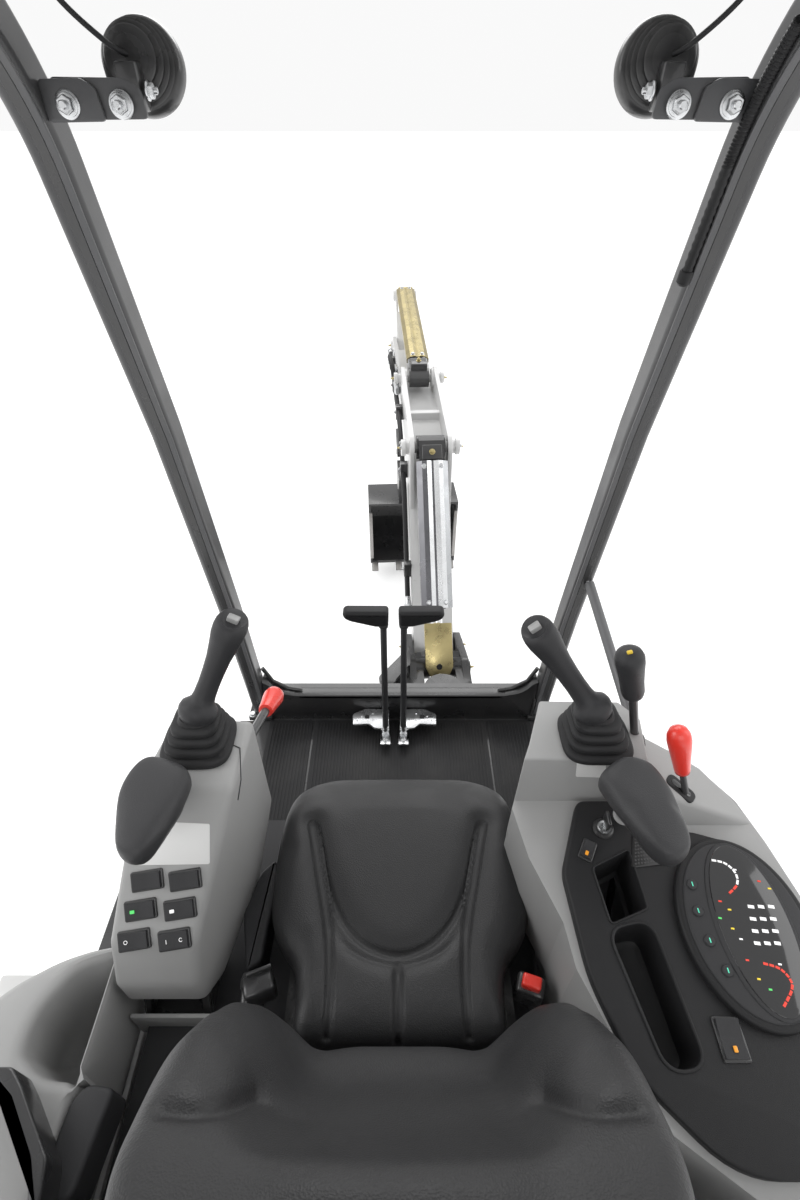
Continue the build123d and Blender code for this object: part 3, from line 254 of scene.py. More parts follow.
BYNODE = {}
for k, v in {
    "paint": "side_covers engine_hood rear_shrouds boom arm",
    "grey": "undercarriage_frame counterweight post_strut",
    "post": "front_posts rear_posts roof_rails",
    "black": "house_frame front_bar swing_post swing_cylinder_barrel boom_cylinder_barrel arm_cylinder_barrel bucket bucket_levers bucket_link bucket_cylinder_barrel final_drives idlers track_rollers console_bracket seat_base blade_cylinder_barrel dozer_blade work_lights light_brackets",
    "rubber": "track_left track_right", "mat": "floor_mat",
    "console": "left_console right_console storage_tub",
    "dark_plastic": "control_panel left_switches", "mid_plastic": "seat_box travel_levers right_levers",
    "chrome": "swing_cylinder_rod boom_cylinder_rod bucket_cylinder_rod blade_cylinder_rod",
    "silver": "boom_cylinder_guard", "zinc": "arm_cylinder_guard arm_cylinder_rod",
    "steel": "slew_ring travel_pedals", "red": "safety_lever", "gloss": "instrument_cluster",
    "roof": "canopy_roof", "cast": "engine_block", "vinyl": "seat_cushion seat_backrest left_wrist_rest right_wrist_rest",
    "boot": "left_joystick right_joystick"}.items():
    for nm in v.split():
        BYNODE[nm] = k
for nm, ob in NODES.items():
    ob.data.materials.clear()
    ob.data.materials.append(M[BYNODE.get(nm, "grey")])

# ------------------------------------------------------------------ mesh helpers
def link(ob):
    bpy.context.scene.collection.objects.link(ob)
    return ob


def finish_mesh(me, angle=35.0, smooth=True):
    bm = bmesh.new()
    bm.from_mesh(me)
    bmesh.ops.recalc_face_normals(bm, faces=bm.faces)
    ca = radians(angle)
    for f in bm.faces:
        f.smooth = smooth
    for e in bm.edges:
        e.smooth = not (len(e.link_faces) == 2 and e.calc_face_angle(0.0) > ca)
    bm.to_mesh(me)
    bm.free()


def make(name, verts, faces, material, body, slot=None, angle=35.0, sub=0, bevel=0.0, bseg=2, weld=0.0):
    me = bpy.data.meshes.new(name)
    me.from_pydata([tuple(v) for v in verts], [], faces)
    me.update()
    ob = link(bpy.data.objects.new(name, me))
    me.materials.append(material)
    if weld > 0 or bevel > 0:
        bm = bmesh.new()
        bm.from_mesh(me)
        if weld > 0:
            bmesh.ops.remove_doubles(bm, verts=bm.verts, dist=weld)
        if bevel > 0:
            bmesh.ops.recalc_face_normals(bm, faces=bm.faces)
            es = [e for e in bm.edges if len(e.link_faces) == 2 and e.calc_face_angle(0.0) > radians(25)]
            bmesh.ops.bevel(bm, geom=es, offset=bevel, segments=bseg, profile=0.6, affect="EDGES", clamp_overlap=True)
        bm.to_mesh(me)
        bm.free()
    if sub:
        md = ob.modifiers.new("sub", "SUBSURF")
        md.levels = md.render_levels = sub
        apply_mods(ob)
        me = ob.data
    finish_mesh(me, angle)
    if body:
        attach(ob, body)
    return ob


def apply_mods(ob):
    bpy.context.view_layer.update()
    dg = bpy.context.evaluated_depsgraph_get()
    me = bpy.data.meshes.new_from_object(ob.evaluated_get(dg))
    mats = list(ob.data.materials)
    ob.modifiers.clear()
    ob.data = me
    if not me.materials:
        for m_ in mats:
            me.materials.append(m_)
    return ob


class Bin:
    """Collects many small shapes of one material on one body into one mesh."""

    def __init__(self, name, material, body, slot=None, angle=35.0):
        self.n, self.m, self.b, self.s, self.a = name, material, body, slot, angle
        self.v, self.f = [], []

    def add(self, verts, faces):
        o = len(self.v)
        self.v += [Vector(v) for v in verts]
        self.f += [tuple(i + o for i in f) for f in faces]

    def box(self, c, size, rot=None, bevel=0.0, seg=2):
        x, y, z = [s / 2 for s in size]
        bm = bmesh.new()
        bmesh.ops.create_cube(bm, size=1.0)
        for v in bm.verts:
            v.co = Vector((v.co.x * 2 * x, v.co.y * 2 * y, v.co.z * 2 * z))
        if bevel > 0:
            bmesh.ops.bevel(bm, geom=bm.edges[:], offset=bevel, segments=seg, profile=0.5, affect="EDGES", clamp_overlap=True)
        self._bm(bm, c, rot)

    def _bm(self, bm, c, rot):
        bm.verts.index_update()
        vs = [((rot @ v.co) if rot is not None else v.co) + Vector(c) for v in bm.verts]
        fs = [tuple(v.index for v in f.verts) for f in bm.faces]
        bm.free()
        self.add(vs, fs)

    def lathe(self, prof, origin, axis, seg=24, phase=0.0, x_hint=None):
        """prof is (radius, distance along axis) pairs; closed at both ends."""
        a = Vector(axis).normalized()
        h = Vector(x_hint) if x_hint is not None else (Vector((0, 0, 1)) if abs(a.z) < 0.9 else Vector((1, 0, 0)))
        u = (h - a * h.dot(a)).normalized()
        w = a.cross(u)
        vs, fs = [], []
        o = Vector(origin)
        n = len(prof)
        for (r, t) in prof:
            for k in range(seg):
                g = 2 * pi * k / seg + phase
                vs.append(o + a * t + (u * cos(g) + w * sin(g)) * r)
        for i in range(n - 1):
            for k in range(seg):
                k2 = (k + 1) % seg
                fs.append((i * seg + k, i * seg + k2, (i + 1) * seg + k2, (i + 1) * seg + k))
        fs.append(tuple(range(seg - 1, -1, -1)))
        fs.append(tuple((n - 1) * seg + k for k in range(seg)))
        self.add(vs, fs)

    def tube(self, pts, r, seg=12, closed=False):
        pts = [Vector(p) for p in pts]
        n = len(pts)
        rr = r if callable(r) else (lambda i: r)
        vs, fs = [], []
        up = None
        for i, p in enumerate(pts):
            t = (pts[min(i + 1, n - 1)] - pts[max(i - 1, 0)]).normalized()
            if up is None:
                up = Vector((0, 0, 1)) if abs(t.z) < 0.9 else Vector((1, 0, 0))
            u = (up - t * up.dot(t))
            if u.length < 1e-6:
                u = t.orthogonal()
            u.normalize()
            up = u
            w = t.cross(u)
            for k in range(seg):
                g = 2 * pi * k / seg
                vs.append(p + (u * cos(g) + w * sin(g)) * rr(i))
        for i in range(n - 1):
            for k in range(seg):
                k2 = (k + 1) % seg
                fs.append((i * seg + k, i * seg + k2, (i + 1) * seg + k2, (i + 1) * seg + k))
        fs.append(tuple(range(seg - 1, -1, -1)))
        fs.append(tuple((n - 1) * seg + k for k in range(seg)))
        self.add(vs, fs)

    def prism(self, pts, origin, xa, ya, t, bevel=0.0, seg=2):
        """pts in the plane (xa, ya), extruded by t along xa x ya."""
        xa, ya = Vector(xa).normalized(), Vector(ya).normalized()
        za = xa.cross(ya)
        o = Vector(origin)
        n = len(pts)
        bm = bmesh.new()
        lo = [bm.verts.new(o + xa * p[0] + ya * p[1]) for p in pts]
        hi = [bm.verts.new(o + xa * p[0] + ya * p[1] + za * t) for p in pts]
        bm.faces.new(lo[::-1])
        bm.faces.new(hi)
        for k in range(n):
            bm.faces.new((lo[k], lo[(k + 1) % n], hi[(k + 1) % n], hi[k]))
        bmesh.ops.recalc_face_normals(bm, faces=bm.faces)
        if bevel > 0:
            es = [e for e in bm.edges if len(e.link_faces) == 2 and e.calc_face_angle(0.0) > radians(30)]
            bmesh.ops.bevel(bm, geom=es, offset=bevel, segments=seg, profile=0.6, affect="EDGES", clamp_overlap=True)
        self._bm(bm, (0, 0, 0), None)

    def bolt(self, c, axis, af=0.017, h=0.010, washer=True, stud=0.0):
        """A hexagon head or nut with its washer; af is across flats."""
        a = Vector(axis).normalized()
        c = Vector(c)
        if washer:
            self.lathe([(af * 0.62, 0), (af * 0.72, 0.0006), (af * 0.72, 0.0018), (af * 0.64, 0.0024)], c, a, 24)
        r = af / sqrt(3)
        self.lathe([(r, 0.002), (r, h * 0.85), (r * 0.88, h)], c, a, 6)
        self.lathe([(r * 0.8, h * 0.9), (r * 0.72, h * 1.03)], c, a, 18)
        if stud:
            self.lathe([(af * 0.28, h), (af * 0.28, h + stud), (af * 0.22, h + stud + 0.001)], c, a, 12)

    def build(self, **kw):
        if not self.v:
            return None
        return make(self.n, self.v, self.f, self.m, self.b, self.s, self.a, **kw)


def soften(node, width, body, material, seg=3, angle=28, name=None, planar=2.0, sub=0):
    """The node's shape with its edges rounded."""
    src = NODES[node]
    me = bpy.data.meshes.new(name or node + "_body")
    bm = bmesh.new()
    bm.from_mesh(src.data)
    bmesh.ops.remove_doubles(bm, verts=bm.verts, dist=2e-5)
    bmesh.ops.dissolve_limit(bm, angle_limit=radians(planar), verts=bm.verts, edges=bm.edges)
    bmesh.ops.recalc_face_normals(bm, faces=bm.faces)
    es = [e for e in bm.edges if len(e.link_faces) == 2 and e.calc_face_angle(0.0) > radians(angle)]
    bmesh.ops.bevel(bm, geom=es, offset=width, segments=seg, profile=0.55, affect="EDGES", clamp_overlap=True)
    bmesh.ops.triangulate(bm, faces=[f for f in bm.faces if len(f.verts) > 4])
    bm.to_mesh(me)
    bm.free()
    for a in list(me.attributes):
        if a.name in ("custom_normal", "sharp_face"):
            me.attributes.remove(a)
    ob = link(bpy.data.objects.new(name or node + "_body", me))
    me.materials.clear()
    me.materials.append(material)
    finish_mesh(me, 40)
    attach(ob, body)
    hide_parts(node)
    return ob


def spline(pts, n=8):
    """Points on a smooth open curve through pts."""
    pts = [Vector(p) for p in pts]
    out = []
    m = len(pts)
    for i in range(m - 1):
        p0 = pts[max(i - 1, 0)]
        p1, p2 = pts[i], pts[i + 1]
        p3 = pts[min(i + 2, m - 1)]
        for k in range(n):
            t = k / n
            out.append(0.5 * ((2 * p1) + (p2 - p0) * t + (2 * p0 - 5 * p1 + 4 * p2 - p3) * t * t
                              + (3 * p1 - p0 - 3 * p2 + p3) * t ** 3))
    out.append(pts[-1])
    return out


def sm(t):
    t = max(0.0, min(1.0, t))
    return t * t * (3 - 2 * t)


def lerp_table(tab, x):
    if x <= tab[0][0]:
        return tab[0][1]
    for (a, b), (c, d) in zip(tab, tab[1:]):
        if x <= c:
            return b + (d - b) * sm((x - a) / (c - a)) if False else b + (d - b) * (x - a) / (c - a)
    return tab[-1][1]


for key_, lev_ in (("vinyl", 0.34), ("pad", 0.30), ("dark_plastic", 0.26), ("mid_plastic", 0.28), ("boot", 0.25), ("post", 0.34),
                   ("mat", 0.25), ("rubber", 0.2), ("hose", 0.25), ("belt", 0.2), ("cast", 0.35)):
    for nd_ in M[key_].node_tree.nodes:
        if nd_.type == "BSDF_PRINCIPLED":
            sock(nd_, "Specular IOR Level", lev_)

# ------------------------------------------------------------------ camera and light
cam = bpy.data.cameras.new("camera")
cam.lens = 18.0
cam.sensor_width = 36.0
cam.sensor_fit = "AUTO"
cam.clip_start = 0.02
camo = link(bpy.data.objects.new("camera", cam))
camo.location = W(0, -560, 2160)
camo.rotation_euler = (radians(50), 0, 0)
bpy.context.scene.camera = camo

world = bpy.data.worlds.new("world")
bpy.context.scene.world = world
world.use_nodes = True
world.node_tree.nodes["Background"].inputs["Color"].default_value = (1, 1, 1, 1)
world.node_tree.nodes["Background"].inputs["Strength"].default_value = 0.95
bpy.context.scene.view_settings.view_transform = "Standard"


def area(name, loc, target, size, power, color=(1, 1, 1)):
    d = bpy.data.lights.new(name, "AREA")
    d.shape = "RECTANGLE"
    d.size, d.size_y = size
    d.energy = power
    d.color = color
    o = link(bpy.data.objects.new(name, d))
    o.location = loc
    o.rotation_euler = (Vector(target) - Vector(loc)).to_track_quat("-Z", "Y").to_euler()
    return o


area("light_front", (0, 4.6, 5.2), (0, -0.6, 0.8), (5, 3), 150)
area("light_left", (-5.0, -0.5, 4.2), (0, -0.6, 1.0), (3, 4), 100)
area("light_right", (5.0, -0.5, 4.2), (0, -0.6, 1.0), (3, 4), 70)
area("light_back", (0, -5.5, 4.5), (0, -0.8, 1.0), (4, 2.5), 60)

fl = make("studio_floor", [(-60, -60, 0), (60, -60, 0), (60, 60, 0), (-60, 60, 0)], [(0, 1, 2, 3)], M["floor"], None)

# ------------------------------------------------------------------ seat
import numpy as np
from mathutils.bvhtree import BVHTree

CAM = W(0, -560, 2160)
CAM_ROT = Euler((radians(50), 0, 0)).to_matrix()


def pix_dir(u, v):
    return (CAM_ROT @ Vector(((u - 400) / 600.0, (600 - v) / 600.0, -1.0))).normalized()


def bvh_of(ob):
    me = ob.data
    return BVHTree.FromPolygons([v.co.copy() for v in me.vertices], [tuple(p.vertices) for p in me.polygons])


def hits(tree, pixels):
    """Where the sight lines of those places of the view meet the surface."""
    out = []
    for u, v in pixels:
        h = tree.ray_cast(CAM, pix_dir(u, v))
        if h[0] is not None:
            out.append(h[0])
    return out


def coords(me):
    a = np.empty(len(me.vertices) * 3, np.float64)
    me.vertices.foreach_get("co", a)
    return a.reshape(-1, 3)


def set_coords(me, a):
    me.vertices.foreach_set("co", np.ascontiguousarray(a, np.float32).ravel())
    me.update()


def normals(me):
    a = np.empty(len(me.vertices) * 3, np.float64)
    me.vertices.foreach_get("normal", a)
    return a.reshape(-1, 3)


def path_dist(a, pts):
    """Distance of every row of a from the polyline pts."""
    p = np.array([tuple(q) for q in pts])
    best = np.full(len(a), 9.0)
    for i in range(len(p) - 1):
        s, e = p[i], p[i + 1]
        d = e - s
        l2 = max(1e-12, float(d @ d))
        t = np.clip(((a - s) @ d) / l2, 0, 1)
        q = s + t[:, None] * d
        best = np.minimum(best, np.linalg.norm(a - q, axis=1))
    return best


def puff(ob, voxel, cap, pressure=4.0, frames=20, smooth=3):
    """Remeshes the form, blows it up as a cloth skin, and keeps how far each point may move."""
    md = ob.modifiers.new("remesh", "REMESH")
    md.mode = "VOXEL"
    md.voxel_size = voxel
    apply_mods(ob)
    me = ob.data
    base = coords(me)
    cl = ob.modifiers.new("cloth", "CLOTH")
    st = cl.settings
    st.quality = 3
    st.mass = 0.3
    st.tension_stiffness = st.compression_stiffness = 12
    st.bending_stiffness = 1.0
    st.use_pressure = True
    st.uniform_pressure_force = pressure
    st.effector_weights.gravity = 0.0
    cl.collision_settings.use_collision = False
    cl.collision_settings.use_self_collision = False
    sc = bpy.context.scene
    cl.point_cache.frame_start = 1
    cl.point_cache.frame_end = frames
    for f in range(1, frames + 1):
        sc.frame_set(f)
    dg = bpy.context.evaluated_depsgraph_get()
    ev = ob.evaluated_get(dg).data
    new = coords(ev)
    ob.modifiers.clear()
    sc.frame_set(1)
    d = new - base
    n = np.linalg.norm(d, axis=1)
    k = np.minimum(1.0, cap / np.maximum(n, 1e-9))
    base = base + d * k[:, None]
    set_coords(me, base)
    bm = bmesh.new()
    bm.from_mesh(me)
    for _ in range(smooth):
        bmesh.ops.smooth_vert(bm, verts=bm.verts, factor=0.5, use_axis_x=True, use_axis_y=True, use_axis_z=True)
    bm.to_mesh(me)
    bm.free()
    md = ob.modifiers.new("sub", "SUBSURF")
    md.levels = md.render_levels = 1
    apply_mods(ob)
    return ob


def press(ob, pts, width, depth, roll=0.0, roll_w=0.0, up_only=False):
    """Sews a seam into the surface along pts."""
    me = ob.data
    a, n = coords(me), normals(me)
    d = path_dist(a, pts)
    w = np.exp(-(d / width) ** 4) * depth
    if roll:
        w = w + np.exp(-(d / roll_w) ** 2) * roll
    if up_only:
        w = w * (n[:, 2] > 0.1)
    set_coords(me, a - n * w[:, None])


def raw(name, verts, faces, material):
    me = bpy.data.meshes.new(name)
    me.from_pydata([tuple(v) for v in verts], [], faces)
    me.update()
    me.materials.append(material)
    return link(bpy.data.objects.new(name, me))


def rings(rs, cap=True):
    """Faces over equal rings of points, closed at both ends."""
    n = len(rs[0])
    vs = [p for r in rs for p in r]
    fs = []
    for i in range(len(rs) - 1):
        for k in range(n):
            k2 = (k + 1) % n
            fs.append((i * n + k, i * n + k2, (i + 1) * n + k2, (i + 1) * n + k))
    if cap:
        fs.append(tuple(range(n - 1, -1, -1)))
        fs.append(tuple((len(rs) - 1) * n + k for k in range(n)))
    return vs, fs


def closed_spline(pts, n=6):
    m = len(pts)
    out = []
    for i in range(m):
        p0, p1, p2, p3 = (Vector(pts[(i + k - 1) % m]) for k in range(4))
        for k in range(n):
            t = k / n
            out.append(0.5 * ((2 * p1) + (p2 - p0) * t + (2 * p0 - 5 * p1 + 4 * p2 - p3) * t * t
                              + (3 * p1 - p0 - 3 * p2 + p3) * t ** 3))
    return out


def strip(binn, tree, pts, width, lift, nrm=None, thick=0.0025):
    """A flat welt lying on the surface along pts."""
    pts = [Vector(p) for p in pts]
    rows = []
    for i, p in enumerate(pts):
        t = (pts[min(i + 1, len(pts) - 1)] - pts[max(i - 1, 0)]).normalized()
        loc, nn, _, _ = tree.find_nearest(p)
        if nrm is not None:
            nn = nrm
        b = t.cross(nn).normalized()
        c = loc + nn * lift
        rows.append([c - b * width / 2 - nn * thick, c - b * width * 0.42, c + b * width * 0.42, c + b * width / 2 - nn * thick])
    vs = [q for r in rows for q in r]
    fs = []
    for i in range(len(rows) - 1):
        for k in range(3):
            fs.append((i * 4 + k, i * 4 + k + 1, (i + 1) * 4 + k + 1, (i + 1) * 4 + k))
        fs.append((i * 4 + 3, i * 4, (i + 1) * 4, (i + 1) * 4 + 3))
    fs.append((3, 2, 1, 0))
    m = (len(rows) - 1) * 4
    fs.append((m, m + 1, m + 2, m + 3))
    binn.add(vs, fs)


# cushion ---------------------------------------------------------
half = [(0, 166), (92, 165), (146, 160), (193, 141), (220, 104), (231, 32), (233, -61), (225, -128), (203, -170),
        (180, -198), (170, -228), (166, -262), (160, -300), (140, -314), (70, -316)]
outl = half + [(0, -316)] + [(-x, y) for x, y in reversed(half[1:])]
oc = closed_spline([(x, y, 0) for x, y in outl], 5)


def cush_top(x, y):
    """Height of the cushion's top, in mm from the ground."""
    z = 1102.0
    z += 7.0 * sm((abs(x) - 95) / 70.0) * sm((150 - y) / 120.0)      # side bolsters
    z -= 16.0 * sm((y - 60) / 115.0)                                 # falls to the front edge
    z += 6.0 * sm((-y - 120) / 160.0)                                # rises a little at the back
    return z


rs = []
ctr = Vector((0, -70, 0))
for (k, zf) in [(0.90, 0.0), (0.955, 0.02), (0.985, 0.12), (0.995, 0.35), (1.0, 0.6), (0.990, 0.78), (0.965, 0.90),
                (0.92, 0.965), (0.86, 0.99), (0.75, 1.0), (0.6, 1.0), (0.45, 1.0), (0.3, 1.0), (0.15, 1.0)]:
    ring = []
    for p in oc:
        q = ctr + (p - ctr) * k
        zt = cush_top(q.x, q.y)
        ring.append(W(q.x, q.y, 1005 + (zt - 1005) * zf))
    rs.append(ring)
vs, fs = rings(rs)
cushion = raw("seat_cushion_cover", vs, fs, M["vinyl"])
puff(cushion, 0.0068, 0.006)
tree = bvh_of(cushion)
cz = lambda cx, cy: (255 + cx / 5.141, 755 + cy / 5.141)
chan_px = [(296, 345), (318, 480), (340, 620), (362, 760), (378, 900), (384, 1050), (382, 1200), (372, 1350), (362, 1470)]
u_px = [(310, 350), (338, 470), (362, 600), (400, 740), (455, 850), (540, 945), (640, 1000), (735, 1018)]
u2_px = [(402, 870), (470, 970), (560, 1030), (660, 1060), (735, 1068)]
ctr_px = [(735, 1062), (735, 1200), (735, 1350), (735, 1500)]
mirror = lambda px: [(1464 - x, y) for x, y in px]


def seam(px):
    return spline([h for h in hits(tree, [cz(*q) for q in px])], 6)


chanL, chanR = seam(chan_px), seam(mirror(chan_px))
uu = seam(u_px + mirror(u_px)[::-1][1:])
u2 = seam(u2_px + mirror(u2_px)[::-1][1:])
cc = seam(ctr_px)
for pth, w, dp, rl, rw in ((chanL, 0.0062, 0.0052, 0.0040, 0.020), (chanR, 0.0062, 0.0052, 0.0040, 0.020),
                           (uu, 0.0052, 0.0050, 0.0060, 0.024), (u2, 0.0044, 0.0030, 0.0024, 0.014),
                           (cc, 0.0070, 0.0060, 0.0026, 0.014)):
    press(cushion, pth, w, dp, rl, rw, up_only=True)
finish_mesh(cushion.data, 60)
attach(cushion, "seat")
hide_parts("seat_cushion")
tree = bvh_of(cushion)
thread = Bin("seat_cushion_thread", M["stitch"], "seat", "vinyl")


def stitches(binn, tree, pts, off, pitch=0.006, r=0.00045, nrm=None):
    pts = [Vector(p) for p in pts]
    acc = 0.0
    for a, b in zip(pts, pts[1:]):
        l = (b - a).length
        t = (b - a).normalized()
        while acc < l:
            p = a + t * acc
            loc, nn, _, _ = tree.find_nearest(p)
            s = t.cross(nn).normalized()
            for sg in ((1, -1) if off else (1,)):
                loc2, n2, _, _ = tree.find_nearest(p + s * off * sg)
                c = loc2 + n2 * 0.0003
                binn.tube([c - t * pitch * 0.36 - n2 * 0.0004, c + n2 * 0.0003, c + t * pitch * 0.36 - n2 * 0.0004], r, 5)
            acc += pitch
        acc -= l


stitches(thread, tree, uu, 0.0, 0.007)
stitches(thread, tree, chanL, 0.0045, 0.007)
stitches(thread, tree, chanR, 0.0045, 0.007)
thread.build()

# backrest --------------------------------------------------------
P_TAB = [(1025, 46), (1060, 66), (1100, 84), (1160, 104), (1230, 116), (1307, 116), (1366, 104), (1407, 72), (1440, 42), (1466, 14)]


def back_front(x, z):
    y = -323 - 0.411 * (z - 1030)
    x0 = lerp_table([(1025, 95), (1150, 82), (1260, 88), (1350, 100), (1470, 110)], z)
    wing = lerp_table(P_TAB, z) * sm((abs(x) - x0) / (208.0 - x0))
    lum = 24 * math.exp(-((z - 1150) / 42.0) ** 2) * (1 - sm((abs(x) - 60) / 90.0))
    hollow = -10 * math.exp(-((z - 1330) / 90.0) ** 2) * (1 - sm(abs(x) / 190.0))
    return y + wing + lum + hollow


def back_rear(x, z):
    return -323 - 0.411 * (z - 1030) - lerp_table([(1025, 62), (1150, 84), (1300, 92), (1470, 78)], z) + 20 * (abs(x) / 230.0) ** 3


rs = []
NR = 96
zs = [1022, 1026, 1034] + [1034 + 12 * k for k in range(1, 33)] + [1426, 1436, 1445, 1453, 1459, 1463]
for z in zs:
    top = max(0.0, (z - 1418) / 46.0)
    k = max(0.03, (1 - min(1.0, top) ** 2.4)) ** 0.5 if top > 0 else 1.0
    kb = 0.90 + 0.10 * sm((z - 1022) / 20.0)
    hw = lerp_table([(1022, 196), (1080, 214), (1150, 224), (1250, 228), (1440, 228)], z) * (0.80 + 0.20 * k) * kb
    ring = []
    for i in range(NR):
        g = 2 * pi * i / NR
        c, s = cos(g), sin(g)
        sx = math.copysign(abs(c) ** 0.52, c)
        sy = math.copysign(abs(s) ** 0.52, s)
        x = hw * sx
        yf, yb = back_front(x, z), back_rear(x, z)
        ym = yb + (yf - yb) * 0.45
        y = ym + (yf - ym) * sy * k if sy > 0 else ym + (ym - yb) * sy * k
        ring.append(W(x, y, z + 90))
    rs.append(ring)
vs, fs = rings(rs)
backrest = raw("seat_backrest_cover", vs, fs, M["vinyl"])
puff(backrest, 0.0068, 0.007, smooth=4)
tree = bvh_of(backrest)
bz = lambda cx, cy: (60 + cx / 2.306, 960 + cy / 2.306)
for sgn in (0, 1):
    mx = (lambda q: (800 - q[0], q[1])) if sgn else (lambda q: q)
    crease = spline(hits(tree, [mx(bz(*q)) for q in [(240, 334), (320, 338), (400, 326), (470, 304)]]), 6)
    if len(crease) > 2:
        a, n = coords(backrest.data), normals(backrest.data)
        d = path_dist(a, crease)
        w = np.exp(-(d / 0.009) ** 2) * 0.006 + np.exp(-(d / 0.026) ** 2) * 0.004
        set_coords(backrest.data, a - n * w[:, None])
finish_mesh(backrest.data, 60)
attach(backrest, "backrest")
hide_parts("seat_backrest")

# ------------------------------------------------------------------ shapes for the rest
def onplane(u, v, p, n):
    """Where the sight line of a place of the view meets a plane."""
    d = pix_dir(u, v)
    return CAM + d * ((Vector(p) - CAM).dot(n) / d.dot(n))


def onz(u, v, z):
    return onplane(u, v, W(0, 0, z), UZ)


def ony(u, v, y):
    return onplane(u, v, W(0, y, 0), Vector((0, 1, 0)))


def onx(u, v, x):
    return onplane(u, v, W(x, 0, 0), Vector((1, 0, 0)))


def rpoly(pts, r, n=6):
    """A polygon with its corners rounded; r may be one radius or one for each corner."""
    m = len(pts)
    out = []
    for i in range(m):
        p0, p1, p2 = Vector(pts[i - 1][:2]), Vector(pts[i][:2]), Vector(pts[(i + 1) % m][:2])
        rr = r[i] if isinstance(r, (list, tuple)) else r
        a, b = (p0 - p1), (p2 - p1)
        d = min(rr, a.length * 0.49, b.length * 0.49)
        if d < 1e-6:
            out.append((p1.x, p1.y))
            continue
        q0, q1 = p1 + a.normalized() * d, p1 + b.normalized() * d
        for k in range(n + 1):
            t = k / n
            q = q0 * (1 - t) ** 2 + p1 * 2 * t * (1 - t) + q1 * t * t
            out.append((q.x, q.y))
    return out


def rrect(w, h, r, cx=0.0, cy=0.0, rot=0.0, n=5):
    pts = [(-w / 2, -h / 2), (w / 2, -h / 2), (w / 2, h / 2), (-w / 2, h / 2)]
    c, s = cos(radians(rot)), sin(radians(rot))
    return [(cx + x * c - y * s, cy + x * s + y * c) for x, y in rpoly(pts, r, n)]


def oval(rx, ry, cx=0.0, cy=0.0, rot=0.0, n=48, p=1.0):
    c, s = cos(radians(rot)), sin(radians(rot))
    out = []
    for k in range(n):
        g = 2 * pi * k / n
        x = rx * math.copysign(abs(cos(g)) ** p, cos(g))
        y = ry * math.copysign(abs(sin(g)) ** p, sin(g))
        out.append((cx + x * c - y * s, cy + x * s + y * c))
    return out


def inset(pts, d):
    """The outline moved in by d."""
    m = len(pts)
    area2 = sum(pts[i - 1][0] * pts[i][1] - pts[i][0] * pts[i - 1][1] for i in range(m))
    sg = 1.0 if area2 > 0 else -1.0
    out = []
    for i in range(m):
        a, b, c = Vector(pts[i - 1]), Vector(pts[i]), Vector(pts[(i + 1) % m])
        e1, e2 = (b - a), (c - b)
        if e1.length < 1e-9:
            e1 = e2
        if e2.length < 1e-9:
            e2 = e1
        e1, e2 = e1.normalized(), e2.normalized()
        n = Vector((-(e1.y + e2.y), e1.x + e2.x))
        if n.length < 1e-6:
            n = Vector((-e1.y, e1.x))
        n.normalize()
        k = max(0.5, n.dot(Vector((-e1.y, e1.x))))
        out.append((b.x + n.x * sg * d / k, b.y + n.y * sg * d / k))
    return out


def slab(binn, pts, origin, xa, ya, t, rnd=0.002, seg=3, low=0.0, dish=0.0, crown=0.0, both=False):
    """A plate over an outline in metres, its upper edge rounded, its top dished or crowned."""
    xa, ya = Vector(xa).normalized(), Vector(ya).normalized()
    za = xa.cross(ya)
    ya = za.cross(xa)
    o = Vector(origin)
    rs_ = []

    def ring(q, h):
        rs_.append([o + xa * p[0] + ya * p[1] + za * h for p in q])
    if both:
        for k in range(seg, 0, -1):
            g = pi / 2 * k / seg
            ring(inset(pts, rnd * (1 - cos(g))), low + rnd * (1 - sin(g)))
        ring(pts, low + rnd)
    else:
        ring(pts, low)
    ring(pts, t - rnd)
    for k in range(1, seg + 1):
        g = pi / 2 * k / seg
        ring(inset(pts, rnd * (1 - cos(g))), t - rnd * (1 - sin(g)))
    cx = sum(p[0] for p in pts) / len(pts)
    cy = sum(p[1] for p in pts) / len(pts)
    if dish or crown:
        base = inset(pts, rnd)
        for k, h in ((0.93, 0.18), (0.82, 0.45), (0.66, 0.75), (0.45, 0.93), (0.22, 1.0)):
            ring([(cx + (p[0] - cx) * k, cy + (p[1] - cy) * k) for p in base], t + (crown - dish) * h)
    vs_, fs_ = rings(rs_)
    binn.add(vs_, fs_)


